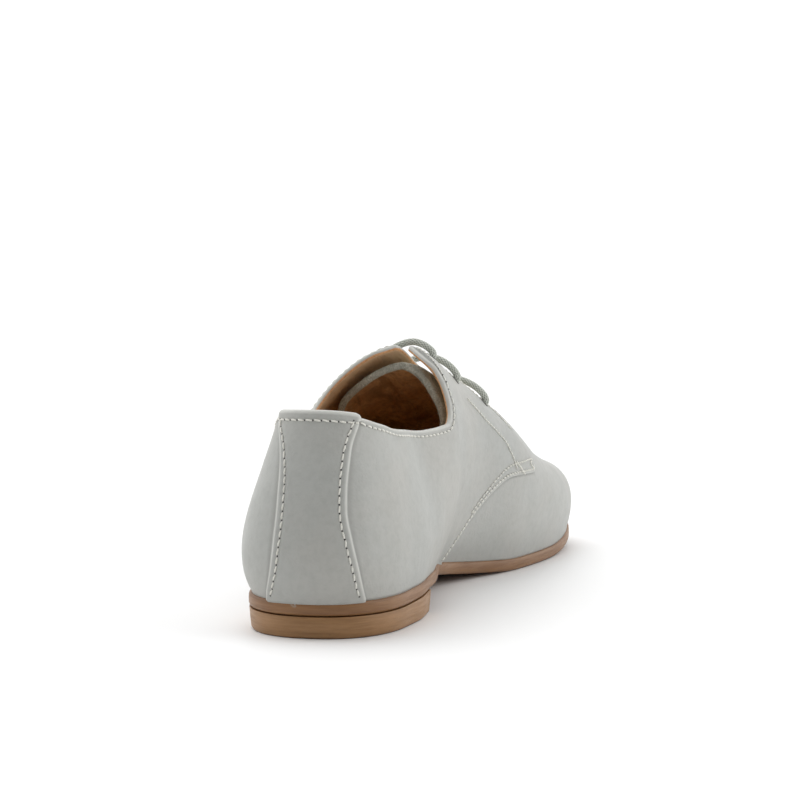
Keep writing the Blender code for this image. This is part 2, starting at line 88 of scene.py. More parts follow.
# Outline of the sole: half widths as shares of the half heel width or half ball width, and the
# sideways swing as a share of the ball width
OUTLINE = (
    # along, medial, lateral, swing
    (0.00, 0.96, 0.97, 0.000),
    (0.11, 0.99, 0.99, 0.000),
    (0.17, 1.03, 1.02, 0.000),
    (0.25, 0.93, 1.04, 0.000),
    (0.33, 0.70, 1.01, 0.002),
    (0.39, 0.52, 0.96, 0.007),
    (0.45, 0.47, 0.93, 0.014),
    (0.52, 0.56, 0.95, 0.024),
    (0.58, 0.70, 0.99, 0.034),
    (0.65, 0.81, 1.02, 0.044),
    (0.72, 0.87, 1.02, 0.056),
    (0.80, 0.90, 0.98, 0.076),
    (0.90, 0.92, 0.93, 0.101),
    (1.00, 0.91, 0.91, 0.116),
)
# Underside of the sole in profile
PROFILE = (
    # along, share of heel height, share of toe spring
    (0.00, 1.00, 0.00),
    (0.10, 1.02, 0.00),
    (0.22, 1.12, 0.00),
    (0.32, 1.10, 0.00),
    (0.40, 0.80, 0.00),
    (0.48, 0.43, 0.00),
    (0.56, 0.14, 0.00),
    (0.62, 0.00, 0.00),
    (0.74, 0.00, 0.00),
    (0.80, 0.00, 0.08),
    (0.88, 0.00, 0.34),
    (0.94, 0.00, 0.62),
    (1.00, 0.00, 1.00),
)
# Ridge of the last: the place along it where the section of each place along the sole ends, and
# how far it leans to the medial side, as a share of the ball width
RIDGE = (
    # along, end of section, lean
    (0.00, 0.125, 0.00),
    (0.06, 0.128, 0.01),
    (0.12, 0.145, 0.02),
    (0.20, 0.205, 0.035),
    (0.30, 0.300, 0.065),
    (0.40, 0.400, 0.110),
    (0.50, 0.500, 0.170),
    (0.60, 0.600, 0.215),
    (0.70, 0.695, 0.235),
    (0.80, 0.785, 0.220),
    (0.90, 0.865, 0.185),
    (0.97, 0.915, 0.15),
    (1.00, 0.935, 0.14),
)
# Sections of the last. The rise is a share of BACK_HEIGHT plus a share of INSTEP_HEIGHT. The top's
# reach is a share of the foot's reach. Each side has a low and a high handle: out is a share of
# the ball width, up and down are shares of the rise
SECTIONS = (
    # along, top, back, instep, medial low out, up, high out, down, lateral low out, up, high out, down
    (0.00, 0.61, 1.08, 0.000, 0.09, 0.30, 0.04, 0.34, 0.09, 0.30, 0.04, 0.34),
    (0.06, 0.60, 1.06, 0.000, 0.05, 0.30, 0.04, 0.34, 0.135, 0.28, 0.02, 0.34),
    (0.12, 0.57, 0.98, 0.060, 0.05, 0.31, 0.04, 0.34, 0.135, 0.29, 0.015, 0.34),
    (0.20, 0.49, 0.72, 0.320, 0.08, 0.32, 0.04, 0.34, 0.11, 0.31, 0.010, 0.32),
    (0.28, 0.27, 0.36, 0.680, 0.12, 0.34, 0.15, 0.22, 0.09, 0.34, 0.175, 0.20),
    (0.36, 0.00, 0.00, 1.005, 0.17, 0.36, 0.280, 0.06, 0.08, 0.36, 0.355, 0.07),
    (0.44, 0.00, 0.00, 0.926, 0.18, 0.38, 0.250, 0.05, 0.08, 0.38, 0.390, 0.05),
    (0.52, 0.00, 0.00, 0.832, 0.15, 0.40, 0.270, 0.04, 0.07, 0.40, 0.43, 0.04),
    (0.60, 0.00, 0.00, 0.735, 0.115, 0.44, 0.260, 0.02, 0.06, 0.42, 0.41, 0.02),
    (0.70, 0.00, 0.00, 0.550, 0.085, 0.50, 0.255, 0.00, 0.05, 0.46, 0.37, 0.00),
    (0.80, 0.00, 0.00, 0.425, 0.065, 0.56, 0.29, 0.00, 0.05, 0.54, 0.32, 0.00),
    (0.90, 0.00, 0.00, 0.325, 0.055, 0.62, 0.27, 0.00, 0.05, 0.62, 0.27, 0.00),
    (1.00, 0.00, 0.00, 0.215, 0.04, 0.70, 0.20, 0.00, 0.04, 0.70, 0.20, 0.00),
)
# Topline of the collar, as a share of each section's rise
TOPLINE = (
    # along, medial, lateral
    (0.000, 0.872, 0.872),
    (0.040, 0.855, 0.868),
    (0.100, 0.820, 0.807),
    (0.200, 0.715, 0.710),
    (0.260, 0.660, 0.675),
    (0.300, 0.648, 0.700),
    (0.325, 0.650, 0.765),
    (0.336, 0.680, 0.825),
    (0.343, 0.735, 0.875),
    (0.3475, 0.820, 0.925),
    (0.3510, 0.920, 0.966),
    (0.354, 1.000, 1.000),
)
# Half width of the back strip, as a share of its whole width
STRIP = (
    # height, medial, lateral
    (0.00, 0.530, 0.400),
    (0.17, 0.480, 0.320),
    (0.34, 0.410, 0.285),
    (0.50, 0.345, 0.270),
    (0.68, 0.325, 0.275),
    (0.83, 0.330, 0.305),
    (1.00, 0.395, 0.400),
)
# Where the pattern's lines run along the shoe, at each height of the wall: from the corner of the
# facings, from the end of the throat, and the front seam of the quarter
LINES = (
    # height, corner, throat, seam
    (0.00, 0.240, 0.325, 0.405),
    (0.20, 0.272, 0.352, 0.433),
    (0.36, 0.291, 0.375, 0.455),
    (0.52, 0.308, 0.400, 0.480),
    (0.68, 0.325, 0.430, 0.512),
    (0.78, 0.335, 0.458, 0.542),
    (0.85, 0.342, 0.488, 0.592),
    (0.92, 0.348, 0.530, 0.632),
    (1.00, 0.354, 0.575, 0.636),
)
# Distance from the ridge to the edge of a facing, from half of FACING_GAP (0) to half of TAB_GAP (1)
FACING = (
    # along, medial, lateral
    (0.354, 0.00, 0.00),
    (0.450, 0.13, 0.04),
    (0.520, 0.30, 0.11),
    (0.575, 0.56, 0.22),
    (0.610, 0.84, 0.33),
    (0.640, 1.00, 0.40),
    (0.750, 0.76, 0.38),
    (0.880, 0.44, 0.34),
    (1.000, 0.25, 0.25),
)
# Tongue, from its free edge to its foot under the vamp
TONGUE = (
    # along, share of its width, how far its sides stand forward of its middle, share of TONGUE_SINK
    (0.364, 1.00, 0.012, 1.00),
    (0.42, 0.86, 0.010, 0.35),
    (0.50, 0.70, 0.006, 0.08),
    (0.58, 0.58, 0.002, 0.00),
    (0.66, 0.47, 0.000, 0.00),
)
TONGUE_DEPTH = (
    # distance from its middle as a share of half its width, share of the sink
    (0.0, 1.00),
    (0.5, 0.75),
    (0.8, 0.45),
    (1.0, 1.00),
)
# Lace bars
LACES = (
    # along the ridge, share of LACE_SPAN
    (0.391, 0.66),
    (0.440, 1.03),
    (0.518, 1.22),
)

# Steps in which the columns of the collar are spaced
BACK_COLUMNS = 12

# Samples taken along a section and along the topline to measure lengths of skin
HEIGHT_SAMPLES = 241
TOPLINE_SAMPLES = 61
# Small changes of place from which slopes are worked out
EDGE_NUDGE = 0.0001
SKIN_NUDGE = 0.001
# Length over which the quarter thickens ahead of its front seam, in widths of the tab
QUARTER_RUN = 1.6

# How far the heel's front face curves in
HEEL_DIP = 0.0030

MEDIAL, LATERAL = 1, -1


def read(table, column, place):
    """Column of a table at each place, along a cubic that never overshoots its rows."""
    rows = np.array(table)
    x, y = rows[:, 0], rows[:, column]
    gap = np.diff(x)
    slope = np.diff(y) / gap
    level = slope[:-1] * slope[1:] <= 0
    before = np.where(level, 1.0, slope[:-1])
    after = np.where(level, 1.0, slope[1:])
    near = gap[:-1] + 2 * gap[1:]
    far = 2 * gap[:-1] + gap[1:]
    inner = np.where(level, 0.0, (near + far) / (near / before + far / after))
    bend = np.concatenate([slope[:1], inner, slope[-1:]])
    place = np.clip(place, x[0], x[-1])
    k = np.clip(np.searchsorted(x, place, side="right") - 1, 0, len(gap) - 1)
    t = (place - x[k]) / gap[k]
    start = (1 + 2 * t) * (1 - t) ** 2 * y[k] + t * (1 - t) ** 2 * gap[k] * bend[k]
    end = t * t * (3 - 2 * t) * y[k + 1] + t * t * (t - 1) * gap[k] * bend[k + 1]
    return start + end


def ease(value):
    """0 to 1 with level ends."""
    value = np.clip(value, 0.0, 1.0)
    return value * value * (3 - 2 * value)


def turn_of(along):
    """A place along the shoe as a turn, which packs columns closer at heel and toe."""
    return np.arccos(1 - 2 * np.clip(along, 0, 1)) / math.pi


def along_of(turn):
    return (1 - np.cos(math.pi * np.asarray(turn, dtype=float))) / 2


def side_column(side):
    """Column of the tables that hold a medial and then a lateral value."""
    return 1 if side == MEDIAL else 2


def outline_x(side, along):
    """Sideways place of the sole's edge."""
    toe_power = TOE_POWER_MEDIAL if side == MEDIAL else TOE_POWER_LATERAL
    ball_rules = ease((along - WAIST_BACK) / (WAIST_FRONT - WAIST_BACK))
    half = HEEL_WIDTH / 2 * (1 - ball_rules) + BALL_WIDTH / 2 * ball_rules
    heel = np.clip(1 - along / HEEL_ROUND, 0, 1)
    toe = np.clip(1 - (1 - along) / TOE_ROUND, 0, 1)
    round_off = (1 - heel**HEEL_POWER) ** (1 / HEEL_POWER) * (1 - toe**toe_power) ** (1 / toe_power)
    swing = read(OUTLINE, 3, along) * BALL_WIDTH
    return side * read(OUTLINE, side_column(side), along) * half * round_off + swing


def sole_y(along):
    return along * SOLE_LENGTH - HEEL_CENTRE


def underside(along):
    """Height of the sole's underside."""
    return read(PROFILE, 1, along) * HEEL_HEIGHT + read(PROFILE, 2, along) * TOE_SPRING


def sole_top(along):
    return underside(along) + SOLE_THICKNESS


def sole_edge(side, along, inset=0.0):
    """Place on the sole's outline, or on the line that lies inside it by the inset."""
    along = np.asarray(along, dtype=float)
    back = np.clip(along - EDGE_NUDGE, 0, 1)
    front = np.clip(along + EDGE_NUDGE, 0, 1)
    run_x = outline_x(side, front) - outline_x(side, back)
    run_y = (front - back) * SOLE_LENGTH
    run = np.hypot(run_x, run_y)
    tip = (along <= 0) | (along >= 1)
    in_x = np.where(tip, 0.0, -side * run_y / run)
    in_y = np.where(tip, np.where(along <= 0, 1.0, -1.0), side * run_x / run)
    return outline_x(side, along) + in_x * inset, sole_y(along) + in_y * inset


def unit(vectors):
    """Vectors of length 1 with the same directions."""
    return vectors / np.linalg.norm(vectors, axis=-1, keepdims=True)


def lengths_along(points):
    """Length of the line from its first point to each of its points."""
    return np.concatenate([[0.0], np.cumsum(np.linalg.norm(np.diff(points, axis=0), axis=-1))])


def last_point(side, turn, height):
    """Point of the last's skin. Height runs from its lower edge (0) to the ridge (1)."""
    turn, height = np.broadcast_arrays(turn, height)
    along = along_of(turn)
    foot_x, foot_y = sole_edge(side, along, SOLE_MARGIN + WALL)
    foot_z = sole_top(along) + TOUCH_GAP + LIP_HEIGHT
    end = read(RIDGE, 1, along)
    ridge_x = read(RIDGE, 2, along) * BALL_WIDTH
    ridge_y = sole_y(end)
    reach = np.hypot(foot_x - ridge_x, foot_y - ridge_y)
    out_x = (foot_x - ridge_x) / reach
    out_y = (foot_y - ridge_y) / reach
    rise = read(SECTIONS, 2, along) * BACK_HEIGHT + read(SECTIONS, 3, along) * INSTEP_HEIGHT
    top = read(SECTIONS, 1, along) * reach
    column = 4 if side == MEDIAL else 8
    low_out = reach + read(SECTIONS, column, along) * BALL_WIDTH
    low_up = read(SECTIONS, column + 1, along) * rise
    high_out = top + read(SECTIONS, column + 2, along) * BALL_WIDTH
    high_up = rise - read(SECTIONS, column + 3, along) * rise
    a = (1 - height) ** 3
    b = 3 * height * (1 - height) ** 2
    c = 3 * height**2 * (1 - height)
    d = height**3
    out = a * reach + b * low_out + c * high_out + d * top
    up = b * low_up + c * high_up + d * rise
    return np.stack([ridge_x + out_x * out, ridge_y + out_y * out, foot_z + up], -1)


def skin_normal(side, turn, height):
    """Outward direction of the last's skin."""
    ahead = np.clip(turn + SKIN_NUDGE, 0, 1)
    behind = np.clip(turn - SKIN_NUDGE, 0, 1)
    above = np.clip(height + SKIN_NUDGE, 0, 1)
    below = np.clip(height - SKIN_NUDGE, 0, 1)
    along_run = last_point(side, ahead, height) - last_point(side, behind, height)
    height_run = last_point(side, turn, above) - last_point(side, turn, below)
    return unit(np.cross(along_run, height_run) * side)


def skin(side, turn, height, out):
    """Point at a distance outside the last's skin, or inside it where the distance is negative."""
    return last_point(side, turn, height) + skin_normal(side, turn, height) * out


def girth(side, turn):
    """Heights up one section, and the length of skin from each of them to the ridge."""
    heights = np.linspace(0, 1, HEIGHT_SAMPLES)
    points = last_point(side, np.full_like(heights, turn), heights)
    steps = np.linalg.norm(np.diff(points, axis=0), axis=-1)
    return heights, np.concatenate([np.cumsum(steps[::-1])[::-1], [0.0]])


def height_from_ridge(side, turn, distance):
    """Height of the point that lies a length of skin from the ridge."""
    heights, lengths = girth(side, turn)
    return float(np.interp(distance, lengths[::-1], heights[::-1]))


def turn_from_back(side, height, distance):
    """Turn of the point that lies a length of skin from the middle of the back."""
    turns = np.linspace(0, turn_of(WAIST_FRONT), HEIGHT_SAMPLES)
    points = last_point(side, turns, np.full_like(turns, height))
    return float(np.interp(distance, lengths_along(points), turns))


def facing_distance(side, along):
    """Length of skin from the ridge to the edge of a facing."""
    share = float(read(FACING, side_column(side), along))
    return (FACING_GAP + (TAB_GAP - FACING_GAP) * share) / 2


def top_height(side, turn):
    """Height of the upper's edge: the topline of the collar, then the edge of the facing."""
    along = float(along_of(turn))
    heights = np.linspace(0, 1, HEIGHT_SAMPLES)
    levels = last_point(side, np.full_like(heights, turn), heights)[:, 2]
    shares = (levels - levels[0]) / (levels[-1] - levels[0])
    collar = float(np.interp(read(TOPLINE, side_column(side), along), shares, heights))
    return min(collar, height_from_ridge(side, turn, facing_distance(side, along)))


def strip_turn(side, share):
    """Turn of the back strip's edge at a share of the wall's height."""
    height = share * top_height(side, 0.0)
    half = STRIP_WIDTH * float(read(STRIP, side_column(side), share))
    return turn_from_back(side, height, half)


def quarter_level(along, share):
    """Thickness of the quarter's wall: it rises to QUARTER_STEP over the vamp's edge."""
    seam = read(LINES, 3, share)
    throat = read(LINES, 2, share)
    return WALL + QUARTER_STEP * float(ease(1 - (seam - along) / (QUARTER_RUN * (seam - throat))))


def topline_places(side, start, end):
    """Shares of the way between two turns that space the columns evenly along the topline."""
    ways = np.linspace(0, 1, TOPLINE_SAMPLES)
    turns = start + (end - start) * ways
    points = np.array([last_point(side, turn, top_height(side, turn)) for turn in turns])
    lengths = lengths_along(points)
    wanted = np.linspace(0, lengths[-1], BACK_COLUMNS + 1)
    return np.interp(wanted, lengths, ways)


# Finer columns and rows of the upper's skin
STRIP_PLACES = (0.0, 0.10, 0.20, 0.30, 0.40, 0.50, 0.58, 0.66, 0.72, 0.76, 0.79, 0.82, 0.85, 0.88, 0.92,
                0.96, 1.0)
FINE_BACK = 52
FINE_FACING = 36
FINE_TAB = 20
FINE_VAMP = 58
FINE_RIDGE = 26
FINE_WALL = 54
TOP_ROW = FINE_WALL + 13
# Millimetres below the edge at which the rows near the top lie
TOP_ROWS = (5.0, 4.3, 3.7, 3.2, 2.8, 2.45, 2.15, 1.85, 1.55, 1.25, 0.95, 0.65, 0.3, 0.0)
RIM_STEPS = 7
# How far the strip stands above the collar's edge, and the rounding and sinking of its own edge
STRIP_RISE = 0.0009
STRIP_ROUND = 0.0008
STRIP_SOFT = 0.00025
# Length of skin for one turn about the heel
STRIP_RUN = 0.09
# Share of the height above which the columns run straight up
LEAN_SHARE = 0.55

# Stitching: rows as distances from an edge, the seam's rows as (low, high, height of the first stitch)
TOPLINE_ROW = 0.0023
STRIP_ROW = 0.0020
SEAM_ROWS = ((0.0014, 0.0010, 0.0), (0.0030, 0.0052, 0.21))
BACK_PITCH = 0.0029
FRONT_PITCH = 0.0021
THREAD_RADIUS = 0.00033
HOLE_RADIUS = 0.00034
TACK_STITCHES = 15
TACK_HALF = 0.00062
# Furrow that a row of stitches presses into the leather
FURROW_DEPTH = 0.00016
FURROW_WIDTH = 0.00075
# Row beside the facing: place along, distance from the facing's edge
FACING_ROW = (
    (0.440, 0.0134),
    (0.453, 0.0140),
    (0.487, 0.0155),
    (0.534, 0.0154),
    (0.550, 0.0172),
    (0.563, 0.0195),
)
# Bar tack: its two ends as place along and height on the medial side, its stitches
TACK = ((0.563, 0.470), (0.590, 0.418))

# Braid of the lace: step along it, strands each way, length of skin for a radian of turn
LACE_STEP = 0.00022
LACE_STRANDS = 8
LACE_LAY = 0.0019
# Rim of a lace hole: radius and height of each ring
LACE_HOLE = ((0.00175, -0.0002), (0.00168, 0.00012), (0.00150, 0.00014), (0.00120, 0.00006))
# Sides of the sole and of the heel, from below: share of the height, inset from the outline
SOLE_SIDE = ((0.0, 0.0009), (0.04, 0.0006), (0.12, 0.0002), (0.25, 0.0), (0.60, 0.0), (0.80, 0.00005),
             (0.90, 0.0002), (0.97, 0.0005), (1.0, 0.0008))
HEEL_SIDE = ((0.0, 0.0014), (0.03, 0.0011), (0.10, 0.0008), (0.5, 0.00045), (0.96, 0.0002), (1.0, 0.0003))

# Soft troughs (positive depth) and ridges (negative) of the leather: side, from and to as along
# and height, width and depth
CREASES = (
    (MEDIAL, 0.300, 0.52, 0.395, 0.30, 0.0090, 0.00050),
    (MEDIAL, 0.200, 0.62, 0.275, 0.42, 0.0100, 0.00035),
    (MEDIAL, 0.140, 0.12, 0.135, 0.70, 0.0080, -0.00030),
    (MEDIAL, 0.055, 0.10, 0.060, 0.70, 0.0060, 0.00022),
    (MEDIAL, 0.640, 0.10, 0.600, 0.34, 0.0060, 0.00045),
    (MEDIAL, 0.690, 0.16, 0.665, 0.44, 0.0055, 0.00035),
    (MEDIAL, 0.740, 0.22, 0.720, 0.52, 0.0060, -0.00030),
    (MEDIAL, 0.420, 0.62, 0.500, 0.40, 0.0080, 0.00035),
    (LATERAL, 0.300, 0.52, 0.400, 0.28, 0.0090, 0.00045),
    (LATERAL, 0.640, 0.12, 0.620, 0.46, 0.0060, 0.00045),
    (LATERAL, 0.700, 0.18, 0.680, 0.55, 0.0055, 0.00035),
    (LATERAL, 0.060, 0.10, 0.065, 0.65, 0.0060, 0.00025),
    (LATERAL, 0.180, 0.62, 0.270, 0.40, 0.0100, 0.00030),
    (MEDIAL, 0.700, 0.62, 0.705, 1.00, 0.0050, 0.00040),
    (LATERAL, 0.700, 0.62, 0.705, 1.00, 0.0050, 0.00040),
    (MEDIAL, 0.660, 0.70, 0.665, 1.00, 0.0045, 0.00030),
    (LATERAL, 0.660, 0.70, 0.665, 1.00, 0.0045, 0.00030),
)

# Colours
LEATHER_COOL = (0.430, 0.438, 0.415)
LEATHER_WARM = (0.445, 0.442, 0.412)
# Darker grey for mottling and pores, and painted shade in the stitch furrows and just past the raised edges
LEATHER_DEEP = (0.270, 0.270, 0.250)
# Painted highlight along the leather's raised edges and rounded rim
LEATHER_EDGE_HIGHLIGHT = (0.640, 0.640, 0.600)
# Painted light on the lining near the upper's top edge
LINING_LIT_NEAR_TOP = (0.900, 0.660, 0.430)
LINING_LIGHT = (0.720, 0.450, 0.210)
LINING_DEEP = (0.520, 0.290, 0.115)
# Dark brown of the lining's fibres, and painted shade in its wrinkles
LINING_DARK = (0.240, 0.115, 0.035)
EDGE_LIGHT = (0.880, 0.520, 0.270)
EDGE_DEEP = (0.620, 0.330, 0.150)
SUEDE_LIGHT = (0.640, 0.640, 0.560)
SUEDE_DEEP = (0.330, 0.335, 0.275)
SUEDE_FLECK = (0.930, 0.920, 0.850)
LACE_LIGHT = (0.780, 0.800, 0.730)
# Dark of the lace's yarn, and painted shade between its strands
LACE_DEEP = (0.300, 0.320, 0.275)
THREAD_LIGHT = (0.900, 0.890, 0.830)
THREAD_DEEP = (0.700, 0.690, 0.620)
# Painted shade inside the needle holes and lace holes
HOLE_SHADE_DARK = (0.030, 0.028, 0.026)
HOLE_SHADE_LIGHT = (0.090, 0.085, 0.080)
SOLE_LIGHT = (0.275, 0.132, 0.046)
SOLE_DEEP = (0.190, 0.086, 0.028)
HEEL_LIGHT = (0.350, 0.182, 0.068)
HEEL_DEEP = (0.250, 0.124, 0.042)
SPECK = (0.045, 0.028, 0.020)
FLOOR_LIGHT = (0.925, 0.925, 0.925)
FLOOR_DEEP = (0.915, 0.915, 0.915)
# Middle of the grey mark over the heel's top edge
MARK_PLACE = (-0.0035, -0.0300, 0.0118)

# Camera, in degrees and metres, fitted to the photo; its lens comes from a focal length in pixels
CAMERA_TURN = 14.341
CAMERA_DOWN = 4.8419
CAMERA_HEIGHT = 0.14968
CAMERA_DISTANCE = 0.89537
CAMERA_SIDE = 0.02275
CAMERA_LENS = 2759.12 / 800 * 36
CAMERA_CLIP = (0.05, 30.0)

# The wall behind the camera is darker: its direction, then cosines and strengths of the fade
DARK_SIDE = (0.33, -0.94, 0.08)
DARK_FADE = (-0.10, 0.85, 1.16, 0.20)
SUN_FROM = (-0.45, 0.35, 1.0)
SUN_POWER = 1.0
RIGHT_POWER = 7.0
SUN_WIDTH = 55
RIGHT_FROM = (1.5, 0.3, 0.9)
RIGHT_AT = (0.0, 0.08, 0.05)
RIGHT_SIZE = 1.4
FLOOR_HALF = 6.0


def soft_noise(points, size, seed):
    """Smooth value noise from -1 to 1 at each point, with features of about the given size."""
    cells = points / size
    base = np.floor(cells).astype(np.int64)
    t = cells - base
    t = t * t * (3 - 2 * t)
    total = np.zeros(points.shape[:-1])
    for dx in (0, 1):
        for dy in (0, 1):
            for dz in (0, 1):
                corner = base + np.array([dx, dy, dz])
                mixed = corner[..., 0] * 73856093 ^ corner[..., 1] * 19349663 ^ corner[..., 2] * 83492791
                mixed = (mixed ^ (seed * 2654435761)) & 0x7FFFFFFF
                mixed = (mixed * 1103515245 + 12345) & 0x7FFFFFFF
                value = ((mixed >> 8) % 65536) / 32767.5 - 1
                weight = np.where(dx, t[..., 0], 1 - t[..., 0])
                weight = weight * np.where(dy, t[..., 1], 1 - t[..., 1])
                weight = weight * np.where(dz, t[..., 2], 1 - t[..., 2])
                total = total + weight * value
    return total


def local_lengths(side, turn, height):
    """Length of skin for a unit of turn and for a unit of height at a place."""
    ahead, behind = min(turn + SKIN_NUDGE, 1.0), max(turn - SKIN_NUDGE, 0.0)
    above, below = min(height + SKIN_NUDGE, 1.0), max(height - SKIN_NUDGE, 0.0)
    run = np.linalg.norm(last_point(side, ahead, height) - last_point(side, behind, height))
    rise = np.linalg.norm(last_point(side, turn, above) - last_point(side, turn, below))
    return run / (ahead - behind), rise / (above - below)


def edge_table(side):
    """Turns, close together about the collar's front, and the heights of the upper's edge there."""
    turns = np.unique(np.concatenate([np.linspace(0, 1, 181), np.linspace(0.36, 0.42, 121)]))
    return turns, np.array([top_height(side, turn) for turn in turns])


EDGES = {side: edge_table(side) for side in (MEDIAL, LATERAL)}


def edge_height(side, turn):
    """Height of the upper's edge, read from its table."""
    return float(np.interp(turn, *EDGES[side]))


def beside_ridge(turns, distances, out):
    """Points beside the ridge: distances along the skin, positive to the medial side."""
    turns, distances = np.broadcast_arrays(np.asarray(turns, float), np.asarray(distances, float))
    flat_turns, flat_distances = turns.ravel(), distances.ravel()
    points = np.zeros((len(flat_turns), 3))
    levels = np.linspace(0, 1, 121)
    for side in (MEDIAL, LATERAL):
        pick = np.flatnonzero(flat_distances >= 0 if side == MEDIAL else flat_distances < 0)
        if not len(pick):
            continue
        chosen = flat_turns[pick]
        grid = last_point(side, chosen[:, None], levels[None])
        steps = np.linalg.norm(np.diff(grid, axis=1), axis=-1)
        lengths = np.concatenate([np.zeros((len(pick), 1)), np.cumsum(steps[:, ::-1], 1)], 1)
        heights = np.array([np.interp(distance, row, levels[::-1])
                            for distance, row in zip(np.abs(flat_distances[pick]), lengths)])
        points[pick] = skin(side, chosen, heights, out)
        middle = flat_distances[pick] == 0
        if middle.any():
            other = skin(LATERAL, chosen[middle], np.ones(middle.sum()), out)
            points[pick[middle]] = (points[pick[middle]] + other) / 2
    return points.reshape(turns.shape + (3,))


def inner_top(side, turn, distance):
    """Height of the line that lies a distance of skin inside the upper's edge."""
    top = edge_height(side, turn)
    run, rise = local_lengths(side, turn, top)
    best = top
    for angle in (0, 25, 50, 75, 90, 105, 130, 155, 180):
        shift = distance * math.cos(math.radians(angle)) / run
        place = turn + shift
        at = edge_height(side if place >= 0 else -side, abs(place))
        best = min(best, at - distance * math.sin(math.radians(angle)) / rise)
    return best


def offset_curve(side, turns, heights, distance):
    """The curve a distance of skin behind another one, towards the heel."""
    run = unit(np.gradient(last_point(side, turns, heights), axis=0))
    inward = np.cross(skin_normal(side, turns, heights), run)
    nudge = SKIN_NUDGE
    by_turn = last_point(side, turns + nudge, heights) - last_point(side, turns - nudge, heights)
    by_turn /= 2 * nudge
    by_height = last_point(side, turns, heights + nudge) - last_point(side, turns, heights - nudge)
    by_height /= 2 * nudge
    flip = np.sign((inward * by_turn).sum(-1, keepdims=True))
    flip[:] = np.sign(flip.sum())
    inward = -inward * flip
    a, b, c = (by_turn**2).sum(-1), (by_turn * by_height).sum(-1), (by_height**2).sum(-1)
    p, q = (inward * by_turn).sum(-1), (inward * by_height).sum(-1)
    scale = a * c - b * b
    return turns + distance * (p * c - q * b) / scale, heights + distance * (q * a - p * b) / scale


def fine_columns(side):
    """Columns of the upper's skin: turns, heights and thickness up each one, and its kind."""
    near_top = 1 - np.array(TOP_ROWS) * 0.001 / BACK_HEIGHT
    shares = np.concatenate([np.linspace(0, near_top[0], FINE_WALL, endpoint=False), near_top])
    strip = np.array([strip_turn(side, share) for share in shares])
    corner = turn_of(read(LINES, 1, np.minimum(1.0, shares / LEAN_SHARE)))
    throat = turn_of(read(LINES, 2, shares))
    seam = turn_of(read(LINES, 3, shares))
    run = STEP_RUN / SOLE_LENGTH
    after_strip = turn_of(along_of(strip) + run)
    after_seam = turn_of(along_of(seam) + run)
    columns = [(strip * place, "strip") for place in STRIP_PLACES]
    even = topline_places(side, after_strip[-1], corner[-1])
    even = np.interp(np.linspace(0, 1, FINE_BACK + 1), np.linspace(0, 1, len(even)), even)
    for k in range(FINE_BACK):
        place = k / FINE_BACK + (even[k] - k / FINE_BACK) * np.minimum(1.0, shares / LEAN_SHARE)
        columns.append((after_strip + (corner - after_strip) * place, "quarter"))
    columns += [(corner + (throat - corner) * k / FINE_FACING, "quarter") for k in range(FINE_FACING)]
    columns += [(throat + (seam - throat) * k / FINE_TAB, "tab") for k in range(FINE_TAB + 1)]
    columns += [(after_seam + (1 - after_seam) * k / FINE_VAMP, "vamp") for k in range(FINE_VAMP + 1)]
    upright = np.maximum(0.0, shares - LEAN_SHARE) / (1 - LEAN_SHARE)
    built = []
    low = 1.0
    for turns, kind in columns:
        end = float(turns[-1])
        if kind in ("tab", "vamp"):
            top = edge_height(side, end)
        else:
            top = inner_top(side, end, WALL / 2)
            if kind == "strip":
                rise = local_lengths(side, end, top)[1]
                rounding = min(1.0, (strip[-1] - end) * local_lengths(side, end, top)[0] / STRIP_ROUND)
                top += STRIP_RISE * math.sqrt(max(0.05, rounding)) / rise
        low = min(low, top)
        heights = shares * top
        if kind in ("quarter", "tab"):
            held = np.clip((seam - turns) / (seam - corner), 0, 1)
            heights += (shares * low + (top - low) * upright - heights) * held
        if kind == "strip":
            level = np.full_like(shares, WALL + STRIP_STEP)
            edge = np.clip((strip - turns) * STRIP_RUN / STRIP_ROUND, 0, 1)
            level = level - STRIP_SOFT * (1 - np.sqrt(edge))
        elif kind == "vamp":
            level = np.full_like(shares, WALL)
        else:
            reach = heights if end < float(corner[-1]) else heights / top
            level = np.array([quarter_level(float(along_of(turn)), float(share))
                              for turn, share in zip(turns, reach)])
        full_turns = turns
        if kind in ("tab", "vamp"):
            start = top + STEP_RUN / girth(side, end)[1][0]
            ridge = start + (1 - start) * np.linspace(0, 1, FINE_RIDGE + 1)
            heights = np.concatenate([heights, ridge])
            full_turns = np.concatenate([turns, np.full(FINE_RIDGE + 1, end)])
            level = np.concatenate([level, np.full(FINE_RIDGE + 1, WALL)])
        built.append((full_turns, heights, level, kind))
    return built


